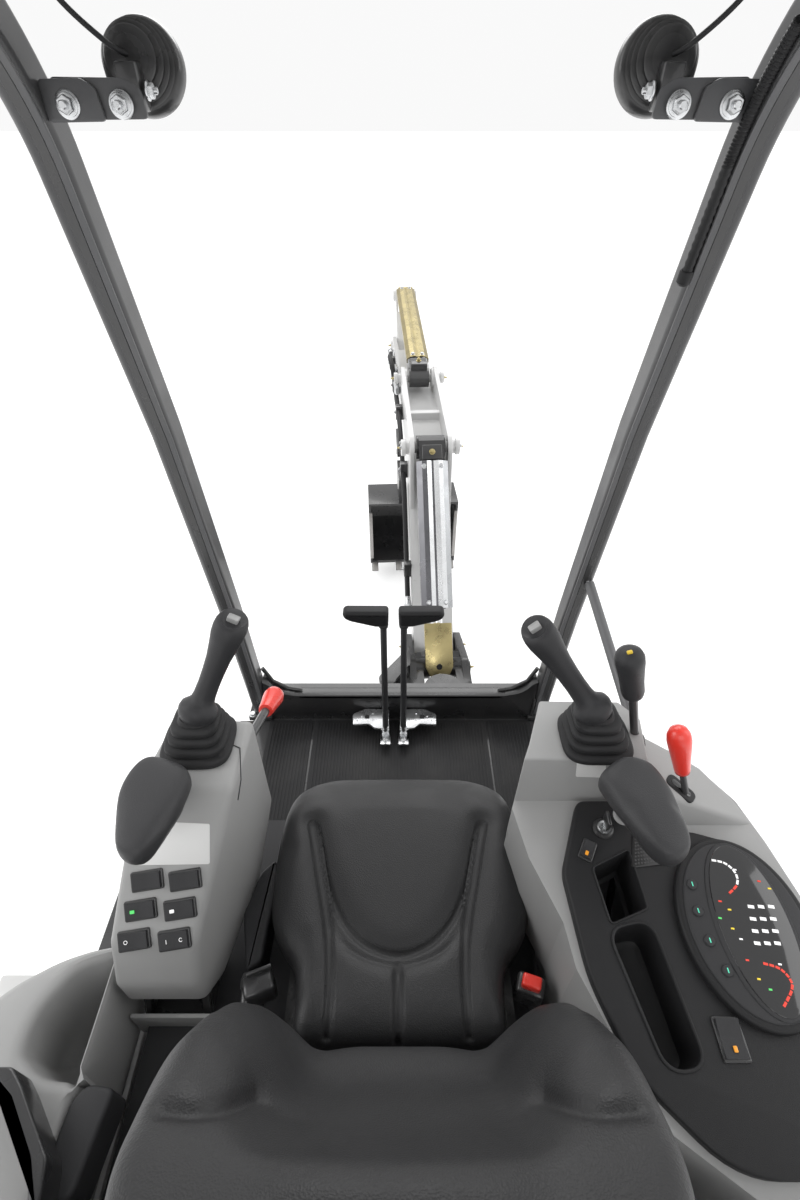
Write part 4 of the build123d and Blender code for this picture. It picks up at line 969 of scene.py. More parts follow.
def solid_cut(pts, z0, z1, cuts, name, width, seg, material, body, node=None, holes=()):
    """A block over a plan outline in mm, cut by planes, its edges rounded, then pockets cut in."""
    bm = bmesh.new()
    lo = [bm.verts.new(W(x, y, z0)) for x, y in pts]
    hi = [bm.verts.new(W(x, y, z1)) for x, y in pts]
    bm.faces.new(lo[::-1])
    bm.faces.new(hi)
    for k in range(len(pts)):
        bm.faces.new((lo[k], lo[(k + 1) % len(pts)], hi[(k + 1) % len(pts)], hi[k]))
    for p, n in cuts:
        r = bmesh.ops.bisect_plane(bm, geom=bm.verts[:] + bm.edges[:] + bm.faces[:], plane_co=p, plane_no=n, clear_outer=True, dist=1e-6)
        es = [e for e in bm.edges if e.is_boundary]
        if es:
            bmesh.ops.holes_fill(bm, edges=es, sides=0)
    bmesh.ops.recalc_face_normals(bm, faces=bm.faces)
    bmesh.ops.dissolve_limit(bm, angle_limit=radians(1), verts=bm.verts, edges=bm.edges)
    es = [e for e in bm.edges if len(e.link_faces) == 2 and e.calc_face_angle(0.0) > radians(14)]
    bmesh.ops.bevel(bm, geom=es, offset=width, segments=seg, profile=0.5, affect="EDGES", clamp_overlap=True)
    bmesh.ops.triangulate(bm, faces=[f for f in bm.faces if len(f.verts) > 4])
    me = bpy.data.meshes.new(name)
    bm.to_mesh(me)
    bm.free()
    ob = link(bpy.data.objects.new(name, me))
    me.materials.append(material)
    for h in holes:
        cut_by(ob, h)
    finish_mesh(ob.data, 32)
    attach(ob, body)
    if node:
        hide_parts(node)
    return ob


def cut_by(ob, tool):
    md = ob.modifiers.new("cut", "BOOLEAN")
    md.operation = "DIFFERENCE"
    md.solver = "EXACT"
    md.object = tool
    apply_mods(ob)
    bpy.data.objects.remove(tool, do_unlink=True)


def tool_prism(pts, origin, xa, ya, low, t):
    xa, ya = Vector(xa).normalized(), Vector(ya).normalized()
    za = xa.cross(ya)
    o = Vector(origin)
    rs_ = [[o + xa * p[0] + ya * p[1] + za * h for p in pts] for h in (low, t)]
    vs_, fs_ = rings(rs_)
    ob = raw("cutter", vs_, fs_, M["black"])
    bm = bmesh.new()
    bm.from_mesh(ob.data)
    bmesh.ops.recalc_face_normals(bm, faces=bm.faces)
    bm.to_mesh(ob.data)
    bm.free()
    return ob


def superring(cx, cy, z, w, d, p=0.5, n=56, tilt=None):
    out = []
    for k in range(n):
        g = 2 * pi * k / n
        x = w / 2 * math.copysign(abs(cos(g)) ** p, cos(g))
        y = d / 2 * math.copysign(abs(sin(g)) ** p, sin(g))
        out.append(W(cx + x, cy + y, z))
    return out


X, Y = Vector((1, 0, 0)), Vector((0, 1, 0))
mm = 0.001

# ------------------------------------------------------------------ consoles
PN = Vector((0, -sin(radians(5.22)), cos(radians(5.22))))
PY = PN.cross(X)
PO = W(0, -200, 1218)
LN3 = Vector((0, -155, 168)).normalized()
LY3 = LN3.cross(X)
LO3 = W(-378, -114, 1247.5)


def pl(u, v, lift=16.0):
    p = onplane(u, v, PO + PN * lift * mm, PN) - PO
    return (p.dot(X), p.dot(PY))


def sl(u, v, lift=0.0):
    p = onplane(u, v, LO3 + LN3 * lift * mm, LN3) - LO3
    return (p.dot(X), p.dot(LY3))


def k_(pts):
    return [(x * mm, y * mm) for x, y in pts]


def cut_at(y0, z0, y1, z1, up=True):
    """A plane across x through two places of the side view; the side to the left of the way is cut off."""
    d = Vector((0, y1 - y0, z1 - z0)).normalized()
    n = Vector((0, -d.z, d.y))
    return (W(0, y0, z0), n)


left_body = solid_cut([(-256, 112), (-398, 116), (-451, -228), (-318, -228), (-262, -30)], 985, 1325,
                      [cut_at(-30, 1325, -198, 1170), cut_at(-198, 1170, -228, 1090), cut_at(-228, 1020, -180, 990),
                       cut_at(-180, 990, 116, 1075)] if False else
                      [(W(0, -30, 1325), Vector((0, -155, 168))), (W(0, -198, 1170), Vector((0, -80, 30))),
                       (W(0, -180, 990), Vector((0, -30, -48))), (W(0, -180, 990), Vector((0, 85, -296)))],
                      "left_console_shell", 0.013, 4, M["console"], "left_armrest", "left_console")
hinge = Bin("left_console_hinge_knuckle", M["console"], "left_armrest", "console")
hinge.box(W(-380, -180, 1022), (0.080, 0.03, 0.045), bevel=0.006)
hinge.lathe([(0.014, 0), (0.02, 0.001), (0.02, 0.079), (0.014, 0.08)], W(-420, -185, 1005), X, 24)
hinge.build()
line = Bin("left_console_seams", M["dark_plastic"], "left_armrest", "console")
# the split between the shell's outer half and its inner cheek
zz = [(112, 1300), (60, 1325.2), (-28, 1325.2)]
line.tube([onz(233, 745, 1325.4), onz(240, 748, 1325.4), onz(241, 780, 1325.4), onz(238, 800, 1325.4)], 0.0009, 6)
line.build()

# four walls of the pockets in the panel
tray = k_(rpoly([(300, 88), (309, 9), (367, 30), (362, 116)], 6))
pock = k_(rpoly([(302, 0), (337, -163), (388, -158), (366, 13)], 26, 8))
RC = [(252, 152), (219, 60), (190, -7), (206, -90), (243, -185), (250, -245), (285, -330), (330, -420), (430, -490),
      (560, -490), (622, -300), (614, -153), (596, -65), (574, 5), (531, 67), (482, 90), (420, 112), (392, 150)]
sh = Vector((92, 0, 262)).normalized()
console_low = solid_cut(RC, 1033, 1330, [(W(0, -40, 1232.2), Vector((0, -42, 460))), (W(398, 0, 1298), sh)],
                        "right_console_shell", 0.011, 4, M["console"], "house", "right_console",
                        [tool_prism(tray, PO, X, PY, -0.055, 0.05), tool_prism(pock, PO, X, PY, -0.055, 0.05)])
RU = [(252, 152), (219, 60), (190, -7), (194, -22), (400, -22), (420, 112), (392, 150)]
# a hair larger than the shell below, so that the two walls never lie in one plane
RU = [(305 + (x - 305) * 1.008, 60 + (y - 60) * 1.008) for x, y in RU]
console_up = solid_cut(RU, 1150, 1325, [(W(0, 28, 1326), Vector((0, -89.6, 22)))],
                       "right_console_boot_seat", 0.014, 4, M["console"], "house")
shelf_o = [(402, 108), (400, -40), (600, -62), (570, 8), (529, 62), (480, 86), (420, 110)]
console_shelf = solid_cut(shelf_o, 1150, 1330, [(W(398, 0, 1300), sh), (W(0, -36, 1234), Vector((0, -0.93, 0.36)))],
                          "right_console_shelf", 0.008, 3, M["console"], "house")
skirt = Bin("right_console_skirt", M["console"], "house", "console")
slab(skirt, k_(rpoly([(250, 150), (250, -240), (300, -330), (420, -330), (420, 110), (390, 150)], 12)), W(0, 0, 0), X, Y, 1.10, 0.004, low=0.943)
slab(skirt, k_(rpoly([(256, 149), (256, 143), (428, 143), (424, 112), (392, 149)], 3)), W(0, 0, 0), X, Y, 1.0, 0.002, low=0.712)
skirt.build()

panel = Bin("control_panel_plate", M["dark_plastic"], "house", "dark_plastic", angle=30)
pout = k_(rpoly([(298, 200), (252, 84), (262, -58), (300, -170), (392, -262), (545, -262), (600, -130), (606, 10), (560, 120), (470, 148), (396, 150), (388, 200)],
               [14, 14, 30, 40, 50, 50, 40, 40, 40, 20, 8, 10], 6))
slab(panel, pout, PO, X, PY, 0.016, 0.005, 4)
po = panel.build()
cut_by(po, tool_prism(tray, PO, X, PY, -0.02, 0.05))
cut_by(po, tool_prism(pock, PO, X, PY, -0.02, 0.05))
finish_mesh(po.data, 30)
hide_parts("control_panel")
rim = Bin("control_panel_rims", M["dark_plastic"], "house", "dark_plastic")
for o_, w_ in ((tray, 0.0025), (pock, 0.004)):
    q = [PO + X * p[0] + PY * p[1] + PN * 0.0165 for p in inset(o_, -w_ * 0.4)]
    rim.tube(q + q[:2], w_ * 0.62, 8)
    # liner of the pocket
    rs_ = [[PO + X * p[0] + PY * p[1] + PN * h for p in inset(o_, d)] for d, h in
           ((0.0, 0.016), (0.0015, 0.012), (0.002, -0.030), (0.006, -0.046), (0.012, -0.050))]
    vs, fs = rings(rs_, cap=False)
    n_ = len(o_)
    fs.append(tuple(4 * n_ + k for k in range(n_)))
    # outer skin so that the liner has a thickness
    m0 = len(vs)
    rs2 = [[PO + X * p[0] + PY * p[1] + PN * h for p in inset(o_, d)] for d, h in
           ((-0.0003, 0.016), (-0.0003, -0.050), (0.010, -0.0535))]
    vs2, fs2 = rings(rs2, cap=False)
    fs2.append(tuple(2 * n_ + k for k in range(n_)))
    vs += vs2
    fs += [tuple(i + m0 for i in f) for f in fs2]
    for k in range(n_):
        k2 = (k + 1) % n_
        fs.append((k, m0 + k, m0 + k2, k2))
    rim.add(vs, fs)
rim.build()


def at_panel(u, v, lift=16.0):
    a_, b_ = pl(u, v, lift)
    return a_, b_


def panel_poly(px, lift=16.0):
    return [pl(u, v, lift) for u, v in px]


# perforated grille: a plate of small raised dots in rows
gr = Bin("speaker_grille", M["black"], "house", "dark_plastic")
gq = [(0.364, 0.091), (0.419, 0.097), (0.416, 0.150), (0.378, 0.140)]
slab(gr, inset(rpoly(gq, 0.004), -0.003), PO, X, PY, 0.0185, 0.001, 2, low=0.012)
for i in range(11):
    for j in range(9):
        fa, fb = (i + 0.5) / 11, (j + 0.5) / 9
        lo_ = Vector(gq[0]).lerp(Vector(gq[1]), fa)
        hi_ = Vector(gq[3]).lerp(Vector(gq[2]), fa)
        q = lo_.lerp(hi_, fb)
        gr.lathe([(0.0017, 0), (0.0017, 0.0006), (0.0010, 0.0013)], PO + X * q.x + PY * q.y + PN * 0.0183, PN, 8)
gr.build()

# key switch
kx, ky = pl(603, 829)
key = Bin("key_switch_bezel", M["black"], "house", "dark_plastic")
key.lathe([(0.0165, 0), (0.0168, 0.002), (0.0150, 0.005), (0.0120, 0.006)], PO + X * kx + PY * ky + PN * 0.016, PN, 36)
key.build()
key = Bin("key_switch", M["steel"], "house", "steel")
key.lathe([(0.0105, 0.004), (0.0110, 0.008), (0.0095, 0.0105), (0.006, 0.0108)], PO + X * kx + PY * ky + PN * 0.016, PN, 32)
key.box(PO + X * kx + PY * ky + PN * 0.031, (0.0025, 0.009, 0.018), Matrix.Rotation(radians(5), 3, "X"), 0.0008)
key.build()
key = Bin("key_head", M["black"], "house", "dark_plastic")
key.box(PO + X * kx + PY * ky + PN * 0.046, (0.0055, 0.024, 0.022), Matrix.Rotation(radians(5), 3, "X"), 0.0022, 3)
key.build()

# rockers of the panel
def rocker(name, bn, o, xa, ya, w, h, body, slot, mark=None, tilt=1.0, face=None, mat_=None):
    """A rocker switch: frame and a paddle hollowed along its length, with its mark if one is given."""
    za = Vector(xa).cross(Vector(ya)).normalized()
    fr = Bin(name + "_frame", M["black"], body, slot)
    slab(fr, rrect(w, h, 0.0035), o, xa, ya, 0.0035, 0.0015, 3)
    fr.build()
    pd = Bin(name + "_paddle", mat_ or M["mid_plastic"], body, slot)
    xa_, ya_ = Vector(xa).normalized(), Vector(ya).normalized()
    wi, hi = w - 0.007, h - 0.0055
    n_ = 12
    rs_ = []
    for k in range(n_ + 1):
        t = -1 + 2 * k / n_
        x_ = t * wi / 2
        top = 0.0045 + 0.0032 * abs(t) ** 1.3 + 0.0012 * tilt * t
        e_ = 0.0009
        rs_.append([Vector(o) + xa_ * x_ + ya_ * (-hi / 2) + za * 0.001, Vector(o) + xa_ * x_ + ya_ * (-hi / 2) + za * (top - e_),
                    Vector(o) + xa_ * x_ + ya_ * (-hi / 2 + e_) + za * top, Vector(o) + xa_ * x_ + ya_ * (hi / 2 - e_) + za * top,
                    Vector(o) + xa_ * x_ + ya_ * (hi / 2) + za * (top - e_), Vector(o) + xa_ * x_ + ya_ * (hi / 2) + za * 0.001])
    vs_, fs_ = rings(rs_)
    pd.add(vs_, fs_)
    pd.build()
    if mark:
        mt, sh_ = mark
        mk = Bin(name + "_mark", mt, body, slot)
        c = Vector(o) + xa_ * (-wi * 0.26) + za * 0.0066
        if sh_ == "O":
            q = [c + xa_ * 0.0026 * cos(2 * pi * k / 20) + ya_ * 0.0026 * sin(2 * pi * k / 20) for k in range(20)]
            mk.tube(q + q[:2], 0.00045, 6)
        elif sh_ == "I":
            mk.tube([c - ya_ * 0.003, c + ya_ * 0.003], 0.0005, 6)
            c2 = Vector(o) + xa_ * (wi * 0.26) + za * 0.0066
            q = [c2 + xa_ * 0.0026 * cos(2 * pi * k / 20) + ya_ * 0.0026 * sin(2 * pi * k / 20) for k in range(20)]
            mk.tube(q + q[:2], 0.00045, 6)
        else:
            slab(mk, rrect(0.007, 0.005, 0.0012), c - za * 0.0004, xa_, ya_, 0.0010, 0.0003, 2)
        mk.build()


ax_, ay_ = 0.297, 0.115
rocker("panel_rocker", None, PO + X * ax_ + PY * ay_ + PN * 0.016, X * 0.49 + PY * 0.87, PY * 0.49 - X * 0.87, 0.034, 0.022, "house", "dark_plastic", (M["amber"], "bar"))
bx_, by_ = 0.429, -0.129
rocker("panel_rocker_rear", None, PO + X * bx_ + PY * by_ + PN * 0.016, PY, -X, 0.050, 0.036, "house", "dark_plastic", (M["amber"], "bar"))

# instrument cluster
cl_o = PO + PN * 0.016
ring_ = Bin("instrument_ring", M["dark_plastic"], "house", "dark_plastic", 30)
slab(ring_, oval(0.095, 0.128, 0.500, 0.002, 0, 96), cl_o, X, PY, 0.013, 0.006, 5)
rg_ = ring_.build()
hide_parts("instrument_cluster")
fr_ = Bin("instrument_frame", M["mid_plastic"], "house", "dark_plastic", 30)
slab(fr_, oval(0.085, 0.119, 0.500, 0.002, 0, 96), cl_o, X, PY, 0.0155, 0.003, 4)
slab(fr_, oval(0.057, 0.118, 0.507, 0.003, 0, 96), cl_o, X, PY, 0.0172, 0.0025, 3, low=0.010)
fr_.build()
gl_ = Bin("instrument_glass", M["gloss"], "house", "gloss", 30)
gco = oval(0.051, 0.113, 0.508, 0.003, 0, 96)
slab(gl_, gco, cl_o, X, PY, 0.0182, 0.0010, 3, low=0.012)
gl_.build()
btn = Bin("instrument_buttons", M["mid_plastic"], "house", "dark_plastic")
led = Bin("instrument_button_lights", M["teal"], "house", "gloss")
for (x_, y_) in ((0.4375, 0.058), (0.4335, 0.021), (0.4365, -0.018), (0.4475, -0.055)):
    c = PO + X * x_ + PY * y_ + PN * 0.0315
    btn.lathe([(0.0075, 0), (0.0078, 0.0012), (0.0066, 0.0026), (0.003, 0.0030)], c, PN, 28)
    slab(led, rrect(0.0016, 0.0065, 0.0007), c + X * 0.0 + PN * 0.0026, X, PY, 0.0008, 0.0002, 2)
btn.build()
led.build()
mk_w = Bin("gauge_marks_white", M["lit_w"], "house", "gloss")
mk_r = Bin("gauge_marks_red", M["lit_r"], "house", "gloss")
mk_y = Bin("gauge_marks_yellow", M["lit_y"], "house", "gloss")
mk_g = Bin("gauge_marks_green", M["lit_g"], "house", "gloss")
cu = lambda cx, cy: (550 + cx / 4.752, 800 + cy / 4.752)


def seg_(bn, a_, b_, w0, w1):
    """A flat bar on the glass between two places of the view."""
    p, q = [Vector((*pl(*cu(*z_), 34.4), 0)) for z_ in (a_, b_)]
    d = (q - p)
    l_ = d.length
    d.normalize()
    n_ = Vector((-d.y, d.x, 0))
    slab(bn, [tuple((p + n_ * w0)[:2]), tuple((q + n_ * w1)[:2]), tuple((q - n_ * w1)[:2]), tuple((p - n_ * w0)[:2])],
         PO, X, PY, 0.0347, 0.0001, 1, low=0.0338)


def arc_(bn, pts, w, gap=0.22, n=9, last=None):
    sp = spline([Vector((*p, 0)) for p in pts], 12)
    ln = [0.0]
    for p, q in zip(sp, sp[1:]):
        ln.append(ln[-1] + (q - p).length)
    tot = ln[-1]

    def at(s_):
        for i in range(len(ln) - 1):
            if ln[i + 1] >= s_:
                f_ = (s_ - ln[i]) / max(1e-9, ln[i + 1] - ln[i])
                return sp[i].lerp(sp[i + 1], f_)
        return sp[-1]
    for k in range(n):
        a_, b_ = at(tot * (k + gap / 2) / n), at(tot * (k + 1 - gap / 2) / n)
        seg_(mk_r if (last and k >= n - last) else bn, (a_.x, a_.y), (b_.x, b_.y), w, w)


arc_(mk_w, [(765, 285), (830, 300), (880, 345), (890, 400), (850, 445)], 0.0016, n=9, last=2)
arc_(mk_r, [(1010, 775), (1090, 800), (1140, 850), (1150, 900), (1110, 985)], 0.0016, n=10)
for i in range(3):
    for j in range(4):
        p = (940 + 48 * i + 10 * j, 505 + 58 * j)
        seg_(mk_w, p, (p[0] + 30, p[1] + 4), 0.0022, 0.0022)
for bn, p in ((mk_r, (800, 480)), (mk_y, (845, 520)), (mk_g, (800, 560)), (mk_y, (860, 610)), (mk_w, (900, 660)), (mk_r, (930, 760)),
              (mk_y, (985, 850)), (mk_g, (1040, 900)), (mk_w, (870, 330)), (mk_r, (985, 385)), (mk_y, (1035, 420)), (mk_w, (1085, 780))):
    seg_(bn, p, (p[0] + 16, p[1] + 2), 0.0011, 0.0011)
for bn in (mk_w, mk_r, mk_y, mk_g):
    bn.build()

# rockers and blank decals of the left console
cl3 = lambda cx, cy: (95 + cx / 4.356, 600 + cy / 4.356)
k = 0
hide_sw = True
for (x0, x1, y0, y1, mk) in ((150, 297, 1180, 1270, None), (318, 462, 1178, 1266, None), (118, 272, 1297, 1410, (M["lit_g"], "bar")),
                             (295, 440, 1305, 1395, (M["lit_w"], "bar")), (88, 245, 1437, 1535, (M["lit_w"], "O")), (268, 418, 1435, 1532, (M["lit_w"], "I"))):
    a_, b_ = sl(*cl3((x0 + x1) / 2, (y0 + y1) / 2), 5)
    rocker("left_rocker_%d" % k, None, LO3 + X * a_ + LY3 * b_, (X * cos(radians(9)) + LY3 * sin(radians(9))), (LY3 * cos(radians(9)) - X * sin(radians(9))),
           0.050, 0.030, "left_armrest", "dark_plastic", mk)
    k += 1
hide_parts("left_switches")


def decal(name, pts3, nrm, body, t=0.0008, slot="console"):
    """A blank plate through four places."""
    c = sum((Vector(p) for p in pts3), Vector()) / len(pts3)
    xa = (Vector(pts3[1]) - Vector(pts3[0])).normalized()
    za = Vector(nrm).normalized()
    ya = za.cross(xa)
    q = [((Vector(p) - c).dot(xa), (Vector(p) - c).dot(ya)) for p in pts3]
    bn = Bin(name, M["decal"], body, slot)
    slab(bn, rpoly(q, 0.003, 4), c, xa, ya, t, 0.0003, 2, low=-0.0004)
    bn.build()


q3 = lambda u, v: LO3 + X * sl(u, v)[0] + LY3 * sl(u, v)[1]
decal("left_console_plate", [q3(*cl3(*p)) for p in ((180, 1155), (500, 1150), (500, 975), (205, 962))][0:4], LN3, "left_armrest")
cr3 = lambda cx, cy: (510 + cx / 5.407, 600 + cy / 5.407)
sn = Vector((0, -89.6, 22)).normalized()
decal("right_console_plate", [onplane(*cr3(*p), W(0, 28, 1326), sn) for p in ((355, 955), (520, 960), (515, 842), (365, 838))], sn, "house")

# ------------------------------------------------------------------ joysticks
def joystick_shape(side, cx, cy, top, gid):
    """Bellows, collar and grip with its inset rocker."""
    bt = Bin(side + "_joystick_bellows", M["boot"], "house" if side == "right" else "left_armrest", "dark_plastic", 50)
    body = bt.b
    prof = []
    tiers = ((1325, 118, 108), (1342, 102, 94), (1358, 88, 82), (1373, 76, 70))
    for (z, w, d) in tiers:
        for dz, dw in ((0.0, -7), (1.5, -1), (4.5, 0), (8.0, 0), (11.0, -2), (13.0, -9), (14.5, -20)):
            prof.append((z + dz, w + dw, d + dw))
    prof += [(1389, 58, 54), (1396, 50, 48)]
    lean = lambda z: (z - 1325) * 0.10
    dx = (top.x - W(cx, cy, 0).x) / 0.13 * 0.05
    rs_ = []
    for (z, w, d) in prof:
        f_ = (z - 1325) / 71.0
        rs_.append(superring(cx + (top.x * 1000 - cx) * 0.10 * f_, cy + (((top.y - Y0) * 1000) - cy) * 0.10 * f_, z, w, d, 0.55 if z < 1385 else 0.8))
    vs_, fs_ = rings(rs_)
    bt.add(vs_, fs_)
    ob = bt.build()
    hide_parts(gid)
    base = W(cx + (top.x * 1000 - cx) * 0.10, cy + ((top.y - Y0) * 1000 - cy) * 0.10, 1388)
    axis = (top - base)
    L_ = axis.length
    axis.normalize()
    g_ = Bin(side + "_joystick_grip", M["mid_plastic"], body, "dark_plastic", 50)
    # grip axis swings up towards the head
    xa = Vector((1, 0, 0)) - axis * axis.x
    xa.normalize()
    ya = axis.cross(xa)
    prof = [(-0.012, 0.020, 0.020), (-0.006, 0.027, 0.026), (0.002, 0.0315, 0.030), (0.010, 0.0325, 0.031), (0.018, 0.0305, 0.029),
            (0.024, 0.0245, 0.024), (0.030, 0.0195, 0.0195), (0.040, 0.0178, 0.0180), (0.060, 0.0172, 0.0178), (L_ * 0.52, 0.0178, 0.0190),
            (L_ * 0.68, 0.0195, 0.0205), (L_ * 0.80, 0.0225, 0.0225), (L_ * 0.90, 0.0250, 0.0245), (L_ * 0.97, 0.0268, 0.0260),
            (L_ + 0.006, 0.0272, 0.0264), (L_ + 0.014, 0.0262, 0.0254), (L_ + 0.0195, 0.0240, 0.0232), (L_ + 0.0215, 0.0215, 0.0208),
            (L_ + 0.0205, 0.0190, 0.0184), (L_ + 0.0190, 0.0150, 0.0146)]
    rs_ = []
    for (t, rx, ry) in prof:
        # the top is cut slanting back to the operator
        ring = []
        for k in range(40):
            g = 2 * pi * k / 40
            p = base + axis * t + xa * rx * cos(g) + ya * ry * sin(g)
            if t > L_ * 0.85:
                w_ = sm((t - L_ * 0.85) / (L_ * 0.1))
                p = p + axis * (0.010 * w_ * sin(g))
            ring.append(p)
        rs_.append(ring)
    vs_, fs_ = rings(rs_)
    g_.add(vs_, fs_)
    g_.build()
    # the light rocker in the head
    rk = Bin(side + "_joystick_rocker", M["console"], body, "console", 40)
    o = base + axis * (L_ + 0.0185)
    yt = (ya + axis * 0.38).normalized()
    za = xa.cross(yt).normalized()
    slab(rk, rrect(0.019, 0.014, 0.003), o, xa, yt, 0.0065, 0.0012, 3, low=-0.002, dish=0.0012)
    rk.build()
    return base


jl = joystick_shape("left", -338, 60, W(-270, 135, 1514), "left_joystick")
jr = joystick_shape("right", 330, 68, W(223, 125, 1509), "right_joystick")

# ------------------------------------------------------------------ wrist rests, stuffed pads
def wrist(name, pts, body, node, stem):
    out = closed_spline([(x, y, 0) for x, y in pts], 6)
    c = sum(out, Vector()) / len(out)
    rs_ = []
    for k_s, z in ((0.80, 1354), (0.93, 1353), (0.985, 1357), (1.0, 1366), (0.995, 1376), (0.97, 1384), (0.92, 1389.5), (0.80, 1393),
                   (0.62, 1395), (0.42, 1396), (0.2, 1396.5)):
        rs_.append([W(c.x + (p.x - c.x) * k_s, c.y + (p.y - c.y) * k_s, z) for p in out])
    vs_, fs_ = rings(rs_)
    ob = raw(name, vs_, fs_, M["pad"])
    puff(ob, 0.0038, 0.0022, smooth=2)
    finish_mesh(ob.data, 60)
    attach(ob, body)
    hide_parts(node)
    st = Bin(name + "_stem", M["console"], body, "console")
    st.lathe([(0.016, 0), (0.013, 0.004), (0.0125, 0.034), (0.020, 0.040)], stem[0], stem[1], 24)
    st.build()
    return ob


wl = wrist("left_wrist_pad", [(-385, -7), (-350, -14), (-318, -33), (-315, -75), (-322, -112), (-345, -165), (-381, -160), (-400, -110), (-410, -68), (-404, -28)],
           "left_armrest", "left_wrist_rest", (W(-362, -30, 1322), UZ))
wr = wrist("right_wrist_pad", [(347, -7), (318, -22), (299, -42), (305, -72), (318, -104), (345, -160), (372, -170), (397, -149), (399, -100), (396, -60), (380, -18)],
           "house", "right_wrist_rest", (PO + X * 0.368 + PY * 0.172 + PN * 0.016, PN))
br_ = Bin("right_wrist_bracket", M["dark_plastic"], "house", "dark_plastic")
br_.lathe([(0.011, 0.03), (0.0105, 0.128)], PO + X * 0.368 + PY * 0.172 + PN * 0.006, PN, 24)
br_.build()

# ------------------------------------------------------------------ console levers
rl = Bin("blade_lever_rod", M["black"], "house", "black")
rl.tube([W(410, 84, 1298), W(372, 80, 1432)], 0.0075, 16)
rl.build()
g_ = Bin("blade_lever_grip", M["mid_plastic"], "house", "dark_plastic", 50)
p0, p1 = W(374, 80, 1424), W(345, 80, 1518)
ax = (p1 - p0).normalized()
L_ = (p1 - p0).length
g_.lathe([(0.010, 0), (0.0165, 0.003), (0.0185, 0.012), (0.0188, 0.035), (0.0205, 0.058), (0.0225, 0.078), (0.0225, 0.090), (0.0195, 0.098), (0.012, 0.103), (0.004, 0.1045)], p0, ax, 36)
gb = g_.build()
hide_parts("right_levers")
yb_ = Bin("blade_lever_button", M["yellow"], "house", "red", 50)
slab(yb_, rrect(0.0085, 0.0055, 0.002), p1 + ax * 0.0035 - Y * 0.004, Vector((ax.z, 0, -ax.x)), Y, 0.006, 0.0016, 3)
yb_.build()
bt = Bin("blade_lever_gaiter", M["boot"], "house", "dark_plastic", 50)
gx = Vector((sh.z, 0, -sh.x))
go = W(408, 86, 1296)
for w_, d_, h0, h1 in ((0.046, 0.034, -0.004, 0.004), (0.036, 0.027, 0.003, 0.010), (0.026, 0.021, 0.009, 0.017)):
    slab(bt, oval(w_ / 2, d_ / 2, 0, 0, 0, 40), go, gx, Y, h1, 0.0025, 4, low=h0)
bt.build()
tl = Bin("throttle_rod", M["black"], "house", "black")
tl.tube([W(474, -2, 1275), W(462, 14, 1316)], 0.0055, 14)
tl.build()
tk = Bin("throttle_knob", M["red"], "house", "red", 50)
p0, p1 = W(463, 12, 1311), W(440, 33, 1392)
ax = (p1 - p0).normalized()
tk.lathe([(0.0085, 0), (0.0118, 0.002), (0.0128, 0.008), (0.0150, 0.030), (0.0180, 0.055), (0.0192, 0.068), (0.0182, 0.080), (0.0135, 0.090), (0.006, 0.0945), (0.002, 0.095)], p0, ax, 40)
tk.build()
ts = Bin("throttle_slot", M["dark_plastic"], "house", "dark_plastic", 40)
so = onplane(680, 789, W(398, 0, 1298), sh)
slab(ts, rrect(0.052, 0.030, 0.012, n=8), so, (gx * 0.72 - Y * 0.68).normalized(), (gx * 0.68 + Y * 0.72).normalized(), 0.0035, 0.0016, 3, low=-0.003)
ts.build()
# a black gloss plate in the slot: painted shade of the slot's opening, with no recess cut
ts = Bin("throttle_slot_painted_shade", M["gloss"], "house", "gloss", 40)
slab(ts, rrect(0.036, 0.012, 0.0055, n=8), so, (gx * 0.72 - Y * 0.68).normalized(), (gx * 0.68 + Y * 0.72).normalized(), 0.0042, 0.0006, 2, low=0.001)
ts.build()

sv = Bin("safety_lever_rod", M["black"], "left_armrest", "black")
sv.tube([W(-280, 112, 1255), W(-270, 225, 1212)], 0.0085, 18)
sv.build()
sk = Bin("safety_lever_knob", M["red"], "left_armrest", "red", 50)
p0, p1 = W(-270.5, 220, 1214), W(-265, 290, 1187)
ax = (p1 - p0).normalized()
sk.lathe([(0.0105, 0), (0.0142, 0.0015), (0.0152, 0.006), (0.0175, 0.028), (0.0205, 0.050), (0.0212, 0.060), (0.0196, 0.070), (0.0140, 0.0775), (0.006, 0.080), (0.002, 0.0803)], p0, ax, 44)
so_ = sk.build()
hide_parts("safety_lever")

